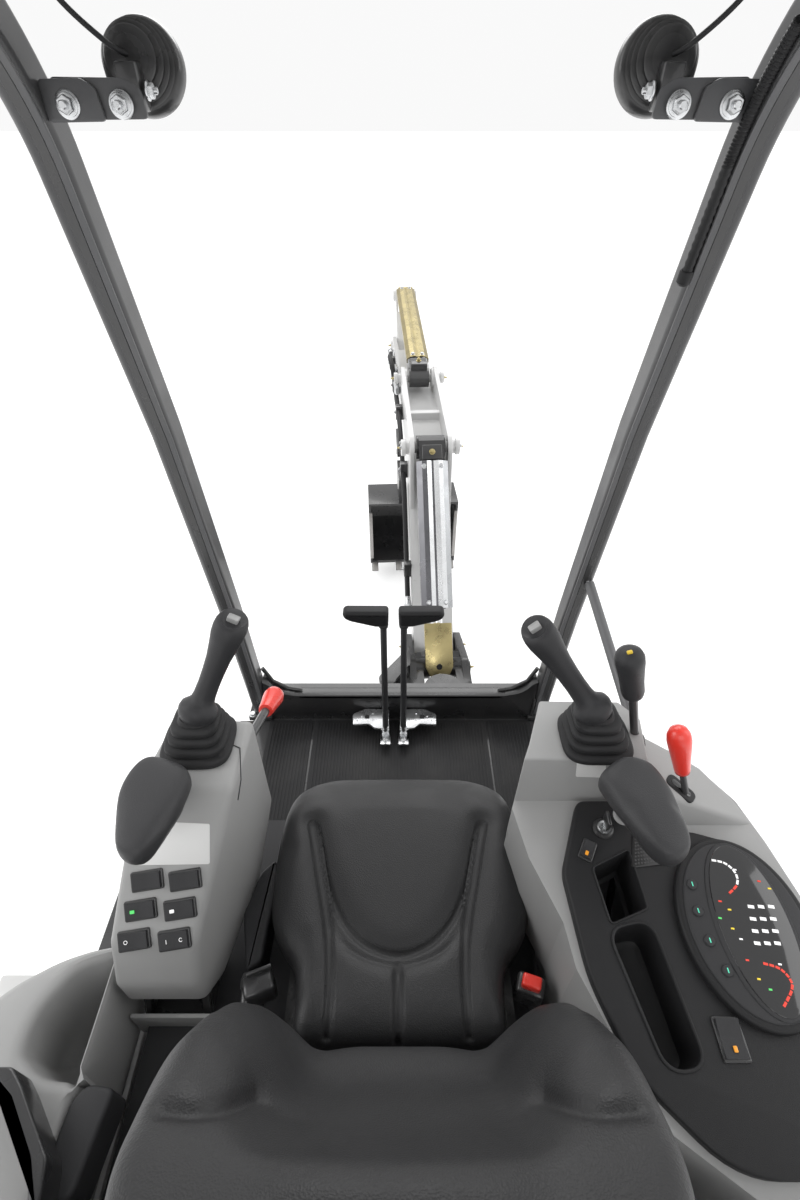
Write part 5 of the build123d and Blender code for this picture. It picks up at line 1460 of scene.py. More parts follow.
# ------------------------------------------------------------------ travel levers and pedals
tv = Bin("travel_lever_rods", M["mid_plastic"], "house", "dark_plastic")
tg = Bin("travel_lever_grips", M["dark_plastic"], "house", "dark_plastic", 40)
tp = Bin("travel_pedal_plates", M["silver"], "house", "steel", 40)
th = Bin("travel_pedal_painted_hole_shade", M["black"], "house", "black", 40)
for x, sx in ((-42, -1), (10, 1)):
    tv.tube([W(x, 540, 756), W(x, 562, 1130), W(x, 564, 1142)], 0.0085, 18)
    tv.lathe([(0.0085, 0), (0.012, 0.004), (0.013, 0.012), (0.010, 0.016)], W(x, 561, 1128), UZ, 20)
    g = [(x - sx * 13, 1142), (x - sx * 14, 1188), (x + sx * 92, 1189), (x + sx * 101, 1182), (x + sx * 98, 1168), (x + sx * 84, 1158), (x + sx * 16, 1138)]
    g = g if sx < 0 else g[::-1]
    slab(tg, k_(rpoly(g, 10, 6)), W(0, 586, 0), X, UZ, 0.0, 0.0, 1) if False else None
    out = k_(rpoly(g, 10, 6))
    slab(tg, out, W(0, 582, 0), X, UZ, 0.036, 0.0095, 5, both=True)
    # pedal plate with its raised foot and studs; black plates on it are painted shade for its holes
    q = [(x - sx * 10, 530), (x + sx * 30, 532), (x + sx * 46, 548), (x + sx * 96, 545), (x + sx * 98, 585), (x + sx * 60, 605), (x - sx * 10, 602)]
    q = q if sx < 0 else q[::-1]
    slab(tp, k_(rpoly(q, 7, 5)), W(0, 0, 0), X, Y, 0.760, 0.002, 3, low=0.752)
    tp.box(W(x, 548, 736), (0.022, 0.040, 0.036), bevel=0.003)
    tp.box(W(x, 512, 732), (0.030, 0.050, 0.006), Matrix.Rotation(radians(-18), 3, "X"), 0.002)
    tp.bolt(W(x, 505, 734), UZ, 0.013, 0.008)
    for (hx, hy) in ((38, 585), (70, 574), (38, 562), (84, 560)):
        tp.lathe([(0.0026, 0), (0.0022, 0.0022), (0.0012, 0.003)], W(x + sx * hx, hy, 760), UZ, 10)
    # thin black plates: painted shade of the pedal's holes; no holes are cut
    slab(th, rrect(0.014, 0.014, 0.003), W(x + sx * 55, 573, 760), X, Y, 0.0006, 0.0002, 1)
    slab(th, rrect(0.009, 0.020, 0.004), W(x, 528, 760), X, Y, 0.0006, 0.0002, 1)
tv.build()
o_ = tg.build()
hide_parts("travel_levers")
o_ = tp.build()
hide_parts("travel_pedals")
th.build()

# ------------------------------------------------------------------ floor mat and front bar
fm = Bin("floor_mat_panels", M["mat"], "house", "rubber", 40)
for (x0, x1) in ((-392, -262), (-256, 256), (262, 392)):
    slab(fm, k_(rpoly([(x0, 162), (x1, 162), (x1, 598), (x0, 598)], 6)), W(0, 0, 0), X, Y, 0.7145, 0.0012, 2, low=0.7095)
    n_ = int((x1 - x0 - 16) / 9)
    for i in range(n_):
        xr = x0 + 8 + (x1 - x0 - 16) * (i + 0.5) / n_
        fm.box(W(xr, 380, 714.6), (0.0042, 0.410, 0.0022), bevel=0.0007, seg=1)
o_ = fm.build()
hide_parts("floor_mat")

fb = Bin("front_bar_panel", M["black"], "house", "black", 30)
up = spline([Vector((x, z, 0)) for x, z in ((-397, 872), (-383, 862), (-368, 842), (-345, 825), (-312, 816), (-280, 814), (0, 814), (280, 814), (312, 816), (345, 825),
                                           (368, 842), (383, 862), (397, 872))], 6)
out = [(-397, 711)] + [(p.x, p.y) for p in up] + [(397, 711)]
hi_ = [(-397, 711), (397, 711)] + [(p.x, p.y) for p in up][::-1]
vs_ = [W(x, 640, z) for x, z in hi_] + [W(x, 606, z) for x, z in hi_]
m_ = len(hi_)
bar = bmesh.new()
bv = [bar.verts.new(v) for v in vs_]
for k in range(m_):
    k2 = (k + 1) % m_
    bar.faces.new((bv[k], bv[k2], bv[m_ + k2], bv[m_ + k]))
# both caps as strips between the foot and the curved top
tp = [k for k in range(2, m_)]
for o0, flip in ((0, False), (m_, True)):
    L_, R_ = bv[o0], bv[o0 + 1]
    mid = len(tp) // 2
    fan = [(R_, bv[o0 + tp[k]], bv[o0 + tp[k + 1]]) for k in range(mid)]
    fan += [(L_, bv[o0 + tp[k]], bv[o0 + tp[k + 1]]) for k in range(mid, len(tp) - 1)]
    fan.append((L_, R_, bv[o0 + tp[mid]]))
    for f in fan:
        bar.faces.new(f[::-1] if flip else f)
bmesh.ops.recalc_face_normals(bar, faces=bar.faces)
es = [e for e in bar.edges if len(e.link_faces) == 2 and e.calc_face_angle(0.0) > radians(60)]
bmesh.ops.bevel(bar, geom=es, offset=0.003, segments=2, profile=0.5, affect="EDGES", clamp_overlap=True)
bar.verts.index_update()
fb.add([v.co.copy() for v in bar.verts], [tuple(v.index for v in f.verts) for f in bar.faces])
bar.free()
fb.box(W(0, 612, 808), (0.60, 0.012, 0.014), bevel=0.004)
for sx in (-1, 1):
    fb.tube([W(sx * 396, 636, 900), W(sx * 372, 632, 850), W(sx * 330, 630, 822), W(sx * 290, 628, 816)], 0.006, 12)
o_ = fb.build()
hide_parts("front_bar")


# ------------------------------------------------------------------ storage tub
def ray_poly(c, g, poly):
    """Distance from c along angle g to the outline."""
    d = Vector((cos(g), sin(g)))
    best = 0.0
    m = len(poly)
    for i in range(m):
        a_, b_ = Vector(poly[i][:2]) - Vector(c), Vector(poly[(i + 1) % m][:2]) - Vector(c)
        e = b_ - a_
        den = d.x * e.y - d.y * e.x
        if abs(den) < 1e-9:
            continue
        t = (a_.x * e.y - a_.y * e.x) / den
        w_ = (a_.x * d.y - a_.y * d.x) / den
        if t > 0 and -1e-6 <= w_ <= 1 + 1e-6:
            best = max(best, t)
    return best


tin = []
for u, v in ((108, 959), (76, 973), (41, 1010), (25, 1047), (30, 1065), (49, 1079), (89, 1082)):
    p = onz(u, v, 1.084 * 1000)
    tin.append((p.x * 1000, (p.y - Y0) * 1000))
tin = [(-466, tin[0][1])] + tin + [(-470, tin[-1][1] - 4), (-464, -330)]
tin = [(p.x, p.y) for p in closed_spline([(x, y, 0) for x, y in tin], 5)]
tout = rpoly([(-455, -160), (-540, -172), (-640, -232), (-690, -330), (-690, -480), (-640, -560), (-455, -560)], [4, 60, 70, 80, 70, 60, 4], 8)
tc = (-520, -290)
NT = 96
ang = [2 * pi * k / NT for k in range(NT)]
ri = [ray_poly(tc, g, tin) for g in ang]
ro = [ray_poly(tc, g, tout) for g in ang]
rs = []
for kind, off, z in (("o", 0, 906), ("o", 0, 1052), ("o", -3, 1068), ("o", -9, 1080), ("o", -18, 1087), ("o", -26, 1089.5), ("m", 0.5, 1090), ("i", 20, 1090), ("i", 10, 1088),
                     ("i", 3, 1083), ("i", 0, 1074), ("i", -4, 1040), ("i", -8, 975), ("i", -18, 945), ("i", -34, 932), ("k", 0.4, 928), ("k", 0.1, 928)):
    ring = []
    for g, a_, b_ in zip(ang, ri, ro):
        lim = b_ - a_
        if kind == "o":
            r_ = b_ + off * min(1.0, max(0.12, lim / 40.0))
        elif kind == "i":
            r_ = a_ + (min(off, lim * 0.45) if off > 0 else off)
        elif kind == "m":
            r_ = (a_ + b_) / 2 if lim > 46 else a_ + lim * 0.52
        else:
            r_ = a_ * off
        ring.append(W(tc[0] + r_ * cos(g), tc[1] + r_ * sin(g), z))
    rs.append(ring)
vs, fs = rings(rs)
tb = make("storage_tub_shell", vs, fs, M["console"], "house", "console", 50)
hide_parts("storage_tub")
# moulding and black bracket behind the tub
sb = Bin("seat_side_moulding", M["mid_plastic"], "house", "dark_plastic", 40)
q = [onz(u, v, 1092) for u, v in ((88, 1084), (116, 1088), (104, 1118), (72, 1200), (40, 1210), (56, 1140), (72, 1100))]
slab(sb, rpoly([(p.x, p.y) for p in q][::-1], 0.012, 5), (0, 0, 0), X, Y, 1.096, 0.006, 3, low=1.03)
sb.build()
sb = Bin("rear_black_bracket", M["black"], "house", "black", 40)
for z0, z1, px in ((1.088, 1.150, ((-14, 1066), (12, 1066), (22, 1086), (47, 1158), (38, 1215), (26, 1215), (28, 1160), (8, 1096), (-14, 1092))),):
    q = [onz(u, v, z1 * 1000) for u, v in px]
    slab(sb, rpoly([(p.x, p.y) for p in q][::-1], 0.006, 5), (0, 0, 0), X, Y, z1, 0.004, 3, low=z0)
sb.build()

# seat belt, buckle and the recliner's lever
bb = Bin("belt_buckle", M["red"], "seat", "red", 40)
c = onz(538, 983, 1092) - X * 0.010
bb.box(c, (0.030, 0.020, 0.020), Matrix.Rotation(radians(-18), 3, "Z"), 0.004, 3)
bb.build()
bb = Bin("belt_buckle_housing", M["black"], "seat", "black", 40)
bb.box(c - UZ * 0.030, (0.044, 0.032, 0.050), Matrix.Rotation(radians(-18), 3, "Z"), 0.006, 3)
bb.tube([c - UZ * 0.05, W(234, -262, 1020), W(232, -280, 975)], 0.010, 10)
bb.build()
bl = Bin("belt_retractor", M["black"], "seat", "black", 40)
c = onz(258, 984, 1065)
bl.box(c - UZ * 0.02, (0.050, 0.034, 0.052), Matrix.Rotation(radians(20), 3, "Z"), 0.007, 3)
bl.box(c + UZ * 0.004 + Y * 0.016, (0.040, 0.005, 0.022), Matrix.Rotation(radians(20), 3, "Z"), 0.001, 2)
bl.tube([c - UZ * 0.04, W(-243, -262, 1000), W(-240, -285, 970)], 0.011, 10)
bl.build()
rc = Bin("recliner_cover", M["mid_plastic"], "seat", "dark_plastic", 40)
q = [onz(u, v, 1030) for u, v in ((243, 905), (262, 872), (276, 860), (280, 880), (268, 930), (262, 962), (246, 972))]
slab(rc, rpoly([(p.x, p.y) for p in q][::-1], 0.008, 5), (0, 0, 0), X, Y, 1.034, 0.006, 4, low=0.968)
rc.build()
rc = Bin("recliner_lever", M["black"], "seat", "black", 40)
rc.tube([W(-238, -300, 1032), W(-246, -262, 1052), W(-249, -222, 1056)], 0.0065, 12)
rc.lathe([(0.006, 0), (0.0095, 0.003), (0.0105, 0.016), (0.008, 0.024), (0.003, 0.026)], W(-249, -224, 1056), Y, 20)
rc.build()

# ------------------------------------------------------------------ lamps
lam = Bin("work_light_bodies", M["black"], "house", "black", 40)
lz = Bin("work_light_lenses", M["lens"], "house", "gloss", 40)
lb = Bin("light_bracket_plates", M["grey"], "house", "black", 40)
ln_ = Bin("light_bracket_nuts", M["steel"], "house", "steel", 40)
lw = Bin("work_light_cables", M["hose"], "house", "rubber", 40)
ld = Vector((0, 67, -12)).normalized()
for sx in (-1, 1):
    o = W(sx * 302, 342, 2194)
    lam.lathe([(0.010, -0.002), (0.020, 0.0), (0.024, 0.006), (0.024, 0.032), (0.034, 0.034)], o, ld, 40)
    for t, r in ((0.000, 0.029), (0.0085, 0.0345), (0.017, 0.0385), (0.0255, 0.0415)):
        lam.lathe([(r * 0.5, t - 0.0002), (r - 0.002, t + 0.0004), (r, t + 0.0016), (r - 0.002, t + 0.0028), (r * 0.5, t + 0.0034)], o, ld, 48)
    lam.lathe([(0.030, 0.0325), (0.040, 0.0330), (0.0445, 0.036), (0.0470, 0.043), (0.0470, 0.0525), (0.0455, 0.054), (0.0425, 0.0535), (0.0415, 0.050)], o, ld, 56)
    lz.lathe([(0.0415, 0.0485), (0.041, 0.051), (0.030, 0.0528), (0.015, 0.0536), (0.004, 0.0538)], o, ld, 48)
    lam.box(W(sx * 302, 333, 2168), (0.024, 0.030, 0.044), bevel=0.003)
    # two overlapping plates with their nuts
    q = [(sx * 399, 2137), (sx * 399, 2175), (sx * 352, 2176), (sx * 338, 2168), (sx * 334, 2138)]
    q = q if sx > 0 else q[::-1]
    slab(lb, k_(rpoly(q[::-1], 5)), W(0, 318, 0), X, UZ, 0.004, 0.0008, 2) if False else None
    slab(lb, k_(rpoly(q, 5)) if sx < 0 else k_(rpoly(q, 5)), W(0, 316, 0), X, UZ, 0.004, 0.0008, 2)
    q = [(sx * 388, 2139), (sx * 388, 2177), (sx * 306, 2176), (sx * 290, 2168), (sx * 287, 2140)]
    slab(lb, k_(rpoly(q, 6)), W(0, 322, 0), X, UZ, 0.0045, 0.0008, 2)
    for x_, z_ in ((372, 2153), (312, 2153)):
        ln_.lathe([(0.0125, 0), (0.0135, 0.0006), (0.0135, 0.0018), (0.0125, 0.0024)], W(sx * x_, 312.2, z_), (0, -1, 0), 32)
        ln_.bolt(W(sx * x_, 310, z_), (0, -1, 0), 0.016, 0.009, True, 0.005)
    ln_.bolt(W(sx * 286, 330, 2165), (-sx, 0, 0), 0.013, 0.008, True, 0.003)
    lw.tube(spline([W(sx * 304, 341, 2196), W(sx * 318, 322, 2206), W(sx * 350, 300, 2240), W(sx * 372, 270, 2290), W(sx * 380, 240, 2338)], 8), 0.0030, 10)
o_ = lam.build()
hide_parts("work_lights")
lz.build()
o_ = lb.build()
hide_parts("light_brackets")
ln_.build()
lw.build()

# ------------------------------------------------------------------ posts: black strip of painted groove shade, grey strip of painted highlight, conduit
def post_path():
    out = []
    for (y0, z0), (y1, z1) in (((640, 712), (568, 1170)), ((568, 1170), (463, 1703)), ((463, 1703), (356, 2090))):
        for k in range(10):
            out.append((y0 + (y1 - y0) * k / 10, z0 + (z1 - z0) * k / 10))
    for k in range(25):
        g = radians(15.46 + 74.5 * k / 24)
        out.append((67 + 300 * cos(g), 2010 + 300 * sin(g)))
    return out


pp = post_path()


def post_strip(bn, x0, x1, lift, t):
    """A strip along the operator's side of a post."""
    rs_ = []
    for i, (y, z) in enumerate(pp):
        a_, b_ = pp[max(i - 1, 0)], pp[min(i + 1, len(pp) - 1)]
        d = Vector((b_[0] - a_[0], b_[1] - a_[1])).normalized()
        n_ = (-d.y, d.x)
        def P_(x, h):
            return W(x, y + n_[0] * h, z + n_[1] * h)
        e = 0.6
        xs = (min(x0, x1), max(x0, x1))
        rs_.append([P_(xs[0], lift), P_(xs[1], lift), P_(xs[1], lift + t - e), P_(xs[1] - e, lift + t), P_(xs[0] + e, lift + t), P_(xs[0], lift + t - e)])
    vs_, fs_ = rings(rs_)
    bn.add(vs_, fs_)


# a black strip lying on the post: painted shade of a groove, with no recess cut
ps = Bin("post_painted_groove_shade", M["black"], "house", "black", 40)
for sx in (-1, 1):
    post_strip(ps, sx * 412, sx * 425, 28.4, 1.4)
ps.build()
# a grey strip beside it: painted highlight along the post's edge
ps = Bin("post_painted_highlight_strips", M["grey"], "house", "grey", 40)
for sx in (-1, 1):
    post_strip(ps, sx * 402, sx * 411, 27.0, 3.6)
ps.build()
cd = Bin("post_conduit", M["hose"], "house", "rubber", 40)
pts = [W(394, pp[i][0] - 27, pp[i][1] + 2) for i in range(27, 40)]
sp = spline(pts, 8)
cd.tube(sp, lambda i: 0.0072 if i % 2 else 0.0060, 14)
cd.lathe([(0.008, -0.002), (0.0095, 0), (0.0095, 0.014), (0.006, 0.018)], sp[0], (sp[0] - sp[2]).normalized(), 20)
cd.build()
# feet of the posts and ends of the stay
ft = Bin("post_feet", M["black"], "house", "black", 40)
for sx in (-1, 1):
    ft.box(W(sx * 420, 640, 722), (0.070, 0.090, 0.016), bevel=0.003)
    ft.box(W(sx * 396, 640, 760), (0.008, 0.080, 0.090), bevel=0.003)
ft.build()
fb_ = Bin("post_foot_bolts", M["steel"], "house", "steel", 40)
for sx in (-1, 1):
    for dy in (-34, 34):
        fb_.bolt(W(sx * 443, 640 + dy, 729), UZ, 0.015, 0.009)
fb_.bolt(W(430, 508, 1313), (-1, 0, 0), 0.013, 0.008)
fb_.build()

# ------------------------------------------------------------------ guards of the boom and arm cylinders
def guard_strips(base, to, start, length, prof, body, slot, mats, name):
    """A folded plate as narrow strips: prof gives the outer line, mats the material of each face; the darker copies of
    one metal on some faces are painted shade.
    """
    l = hypot(to[0] - base[0], to[1] - base[1])
    es, ez = (to[0] - base[0]) / l, (to[1] - base[1]) / l
    e = BS * es + UZ * ez
    up = UZ * (-es) + BS * ez
    o = B(base[0] + es * start, base[1] + ez * start)
    groups = {}
    for i in range(len(prof) - 1):
        (x0, h0), (x1, h1) = prof[i], prof[i + 1]
        d = Vector((x1 - x0, h1 - h0)).normalized()
        n_ = (-d.y, d.x)
        q = [(x0, h0), (x1, h1), (x1 - n_[0] * 4, h1 - n_[1] * 4), (x0 - n_[0] * 4, h0 - n_[1] * 4)]
        key_ = mats[i]
        bn = groups.setdefault(key_, Bin(name + "_" + key_, M[key_], body, slot, 20))
        r0 = [o + BN * x * mm + up * h * mm for x, h in q]
        r1 = [p + e * length * mm for p in r0]
        vs_, fs_ = rings([r0, r1])
        bn.add(vs_, fs_)
    obs = [g.build() for g in groups.values()]
    return obs, o, e, up


# darker copies of the plate and zinc metals: painted shade for the guard faces turned from the light
M["silver_painted_shade"] = mat("bright_plate_painted_shade", (0.16, 0.16, 0.17), 0.30, 1.0, var=0.05, rvar=0.08, rscale=20, bump=0.12, bscale=180)
M["silver_painted_half_shade"] = mat("bright_plate_painted_half_shade", (0.40, 0.41, 0.42), 0.28, 1.0, var=0.05, rvar=0.08, rscale=20, bump=0.12, bscale=180)
M["zinc_painted_shade"] = mat("yellow_zinc_painted_shade", (0.34, 0.28, 0.13), 0.32, 1.0, var=0.14, var_scale=14, rvar=0.10, rscale=30, bump=0.12, bscale=200)
# the boom guard's faces get bright or darker copies of one metal: painted light and shade
obs, go_, ge, gu = guard_strips(CT, CF, 64, 532, [(-57, 30), (-57, 48), (-38, 61), (-20, 65), (-4, 60), (4, 60), (22, 65), (38, 61), (57, 48), (57, 30)],
                                "boom_cylinder", "silver", ["silver_painted_half_shade", "silver_painted_shade", "silver_painted_shade", "silver", "silver_painted_shade", "silver", "silver", "silver_painted_half_shade", "silver_painted_half_shade"], "boom_guard")
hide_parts("boom_cylinder_guard")
# the arm guard's faces get zinc or a darker copy of it: painted shade on the outer faces
obs, ao_, ae, au = guard_strips(AL, AB, 64, 880, [(-48, 32), (-48, 50), (-32, 60), (-14, 64), (-4, 60), (4, 60), (14, 64), (32, 60), (48, 50), (48, 32)],
                                "arm_ram", "zinc", ["zinc_painted_shade", "zinc_painted_shade", "zinc", "zinc", "zinc_painted_shade", "zinc", "zinc", "zinc_painted_shade", "zinc_painted_shade"], "arm_guard")
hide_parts("arm_cylinder_guard")
zf = Bin("arm_guard_foot", M["zinc"], "arm_ram", "zinc", 40)
for n0 in (0,):
    q = [(-37, 34), (37, 34), (37, 62), (-37, 62)]
    c0 = B(AL[0], AL[1])
    slab(zf, k_(rpoly(q, 3)), c0 + ae * 0.063, BN, au, 0.004, 0.0008, 2)
zf.build()
zb = Bin("arm_guard_screws", M["steel"], "arm_ram", "steel", 40)
for dn in (-20, 20):
    zb.bolt(ao_ + BN * dn * mm + au * 0.0615 + ae * 0.018, au, 0.013, 0.008)
    zb.bolt(ao_ + BN * dn * mm + au * 0.0615 + ae * 0.860, au, 0.013, 0.008)
zb.build()
sg = Bin("boom_guard_screws", M["steel"], "boom_cylinder", "steel", 40)
for t in (0.020, 0.512):
    for dn in (-30, 30):
        sg.bolt(go_ + BN * dn * mm + gu * 0.0620 + ge * t, gu, 0.013, 0.007)
sg.build()

# end blocks with their brass fittings
eb = Bin("boom_cylinder_head_block", M["black"], "boom_cylinder", "black", 40)
eb.box(go_ - ge * 0.030 + gu * 0.046, (0.074, 0.054, 0.040), Matrix((BN, -ge, gu)).transposed(), 0.005, 3)
eb.build()
ef = Bin("boom_cylinder_fitting", M["zinc"], "boom_cylinder", "zinc", 40)
ef.bolt(go_ - ge * 0.030 + gu * 0.066, gu, 0.015, 0.010, True, 0.003)
ef.build()
aj = hypot(AL[0] - AB[0], AL[1] - AB[1])
ade = (BS * ((AL[0] - AB[0]) / aj) + UZ * ((AL[1] - AB[1]) / aj))
adu = UZ * ((AL[0] - AB[0]) / aj) - BS * ((AL[1] - AB[1]) / aj)
eb = Bin("arm_cylinder_base_block", M["black"], "arm_cylinder", "black", 40)
eb.box(B(*AB) + ade * 0.026 + adu * 0.046, (0.070, 0.070, 0.036), Matrix((BN, ade, adu)).transposed(), 0.005, 3)
eb.build()
ef = Bin("arm_cylinder_fitting", M["zinc"], "arm_cylinder", "zinc", 40)
ef.bolt(B(*AB) + ade * 0.026 + adu * 0.064, adu, 0.015, 0.010, True, 0.003)
ef.build()

# gold plate on the boom cylinder's rod end
gp = Bin("boom_rod_plate", M["zinc"], "boom_ram", "zinc", 40)
l_ = hypot(CT[0] - CF[0], CT[1] - CF[1])
fe = BS * ((CT[0] - CF[0]) / l_) + UZ * ((CT[1] - CF[1]) / l_)
q = [(-50, 8), (-50, 168), (50, 168), (50, 8), (24, -45), (-24, -45)]
slab(gp, k_(rpoly(q, 5)[::-1]), B(*CF) + gu * 0.043, BN, fe, 0.008, 0.0015, 2)
gp.build()
# a black gloss disc on the plate: painted shade of its hole; no hole is cut
gh = Bin("boom_rod_plate_painted_hole_shade", M["gloss"], "boom_ram", "black", 40)
slab(gh, oval(0.011, 0.011), B(*CF) + gu * 0.0505 + fe * 0.010, BN, fe, 0.0012, 0.0003, 1)
gh.build()
gh = Bin("boom_rod_plate_bolt", M["steel"], "boom_ram", "steel", 40)
gh.bolt(B(*CF) + gu * 0.051 - fe * 0.026, gu, 0.016, 0.009)
gh.build()

# glands, seals and hose ports of a cylinder; only the bucket cylinder gets them here
def cyl_dress(p, q, r, length, body, port_up=1, n0=0.0):
    l = hypot(q[0] - p[0], q[1] - p[1])
    e = BS * ((q[0] - p[0]) / l) + UZ * ((q[1] - p[1]) / l)
    u = UZ * ((q[0] - p[0]) / l) - BS * ((q[1] - p[1]) / l)
    bn = Bin(body + "_gland", M["black"], body, "black", 40)
    end = B(p[0], p[1]) + e * length * mm
    bn.lathe([(r * 0.99 * mm, -0.046), (r * 1.10 * mm, -0.044), (r * 1.10 * mm, -0.004), (r * 1.03 * mm, -0.0005)], end, e, 40)
    bn.lathe([(r * 0.99 * mm, 0.0), (r * 1.06 * mm, 0.002), (r * 1.06 * mm, 0.030), (r * 0.99 * mm, 0.032)], B(p[0], p[1]) + e * r * 1.25 * mm, e, 40)
    for t in (r * 1.7, length - 26):
        bn.box(B(p[0], p[1]) + e * t * mm + u * port_up * (r + 8) * mm, (0.030, 0.030, 0.026), Matrix((BN, e, u)).transposed(), 0.003, 2)
    bn.build()
    st = Bin(body + "_ports", M["steel"], body, "steel", 40)
    for t in (r * 1.7, length - 26):
        st.bolt(B(p[0], p[1]) + e * t * mm + u * port_up * (r + 20) * mm, u * port_up, 0.019, 0.012, False)
    st.build()


cyl_dress(BB, LN, 33, 395, "bucket_cylinder", 1)

# ------------------------------------------------------------------ panel under the left console
kp = Bin("left_console_kick_panel", M["console"], "house", "console", 40)
slab(kp, k_(rpoly([(-451, 905), (-300, 905), (-300, 985), (-451, 985)], 4)), W(0, -236, 0), X, UZ, 0.006, 0.002, 2)
kp.build()

# ------------------------------------------------------------------ edges taken off the plain pieces
def soften_all():
    for node, width, body, m_, slot in (
            ("boom", 0.0030, "boom", "paint", "paint"), ("arm", 0.0026, "arm", "paint", "paint"),
            ("swing_post", 0.0030, "post", "black", "black"), ("bucket", 0.0022, "bucket", "black", "black"),
            ("bucket_levers", 0.0020, "levers", "black", "black"), ("bucket_link", 0.0020, "link", "black", "black"),
            ("rear_shrouds", 0.0050, "house", "paint", "paint"),
            ("side_covers", 0.0060, "house", "paint", "paint"), ("seat_box", 0.0030, "house", "mid_plastic", "dark_plastic"),
            ("undercarriage_frame", 0.0030, "undercarriage", "grey", "grey")):
        soften(node, width, body, M[m_], seg=2)


soften_all()

# ------------------------------------------------------------------ boom: hoses, clamps, grease nipples, bolt rings
def hose(name, pts, r, body, fit0=True, fit1=True):
    sp = spline(pts, 8)
    bn = Bin(name, M["hose"], body, "rubber", 60)
    bn.tube(sp, r, 14)
    bn.build()
    if fit0 or fit1:
        ft_ = Bin(name + "_ends", M["steel"], body, "steel", 40)
        for ok, p, q in ((fit0, sp[0], sp[3]), (fit1, sp[-1], sp[-4])):
            if ok:
                d = (q - p).normalized()
                ft_.lathe([(r * 0.9, -0.012), (r * 1.25, -0.010), (r * 1.25, 0.016), (r * 1.12, 0.018), (r * 1.12, 0.034), (r * 1.02, 0.035)], p, d, 18)
                ft_.lathe([(r * 1.62, -0.006), (r * 1.62, 0.006)], p, d, 6)
        ft_.build()


LFT = -78
for i, dz in enumerate((0, 22)):
    n_ = LFT - 16
    hose("boom_hose_%d" % i, [B(420 + dz, 620 - dz, n_), B(560 + dz * .7, 800, n_), B(700, 960 + dz, n_), B(800 + dz, 1060 + dz * .4, n_ - 2), B(980, 1110 + dz * .6, n_ - 2),
                              B(1200, 1118 + dz, n_ - 2), B(1500, 1112 + dz, n_ - 2), B(1780, 1106 + dz, n_ - 2), B(1900, 1104 + dz, n_)], 0.0095, "boom")
cb = Bin("boom_hose_clamps", M["black"], "boom", "black", 40)
for s_, z_ in ((500, 740), (760, 1034), (1100, 1126), (1420, 1124), (1740, 1120)):
    cb.box(B(s_, z_, LFT - 14), (0.030, 0.034, 0.060), Matrix.Rotation(SW, 3, "Z"), 0.004, 2)
cb.build()
cs = Bin("boom_hose_clamp_bolts", M["steel"], "boom", "steel", 40)
for s_, z_ in ((500, 740), (760, 1034), (1100, 1126), (1420, 1124), (1740, 1120)):
    cs.bolt(B(s_, z_, LFT - 29), -BN, 0.011, 0.007)
cs.build()
# the loop at the arm cylinder's base, left of the boom
for i, d_ in enumerate((0, 16, 32)):
    hose("arm_hose_%d" % i, [B(1500, 1150 + d_ * .5, LFT - 12), B(1440, 1200 + d_, LFT - 26 - i * 6), B(1350, 1246 + d_, LFT - 30 - i * 6), B(1262, 1222 + d_, LFT - 28 - i * 4), B(1240, 1160 + d_ * .4, LFT - 14)],
         0.0085, "boom")
tgm = Bin("hose_tag", M["red"], "boom", "red", 40)
tgm.tube([B(1452, 1196, LFT - 27), B(1432, 1206, LFT - 27)], 0.0105, 16)
tgm.build()
vb = Bin("hose_manifold", M["steel"], "boom", "steel", 40)
vb.box(B(1530, 1148, LFT - 10), (0.022, 0.060, 0.052), Matrix.Rotation(SW, 3, "Z"), 0.003, 2)
for k in range(3):
    vb.bolt(B(1512 + 18 * k, 1160, LFT - 21), -BN, 0.013, 0.012, False)
vb.build()

zn = Bin("grease_nipples", M["zinc"], "boom", "zinc", 40)
for (c_, n_) in ((CT, 108), (CT, -108), (AB, 108), (AB, -108), (BT, 86), (BT, -86)):
    d = BN if n_ > 0 else -BN
    zn.lathe([(0.0060, 0), (0.0060, 0.004), (0.0040, 0.005), (0.0042, 0.009), (0.0026, 0.011), (0.0032, 0.0135), (0.0018, 0.0150)], B(c_[0], c_[1], n_), d, 12)
zn.build()
pk = Bin("pin_keepers", M["steel"], "boom", "steel", 40)
for (c_, n_, dn) in ((CT, 96, 1), (CT, -96, -1), (BF, 0, 0)):
    if dn:
        for g in (0.6, 2.6):
            pk.bolt(B(c_[0] + 20 * cos(g), c_[1] + 20 * sin(g), n_ + dn * 12), BN * dn, 0.010, 0.006)
pk.build()
an = Bin("arm_bolts", M["steel"], "arm", "steel", 40)
for (u_, w_) in ((120, 30), (420, 6), (640, 4)):
    s_, z_ = A(u_, w_)
    an.bolt(B(s_, z_, -50.5), -BN, 0.013, 0.008)
an.build()
for i, d_ in enumerate((0, 20)):
    a0, a1, a2, a3 = A(60, 40 + d_), A(220, 30 + d_ * .6), A(330, 60 + d_ * .5), A(300, 110 + d_ * .5)
    hose("bucket_hose_%d" % i, [B(*A(-20, 46 + d_ * .6), -60), B(*a0, -64), B(*a1, -64), B(*A(120, 100), -58 + i * 4)], 0.0080, "arm")

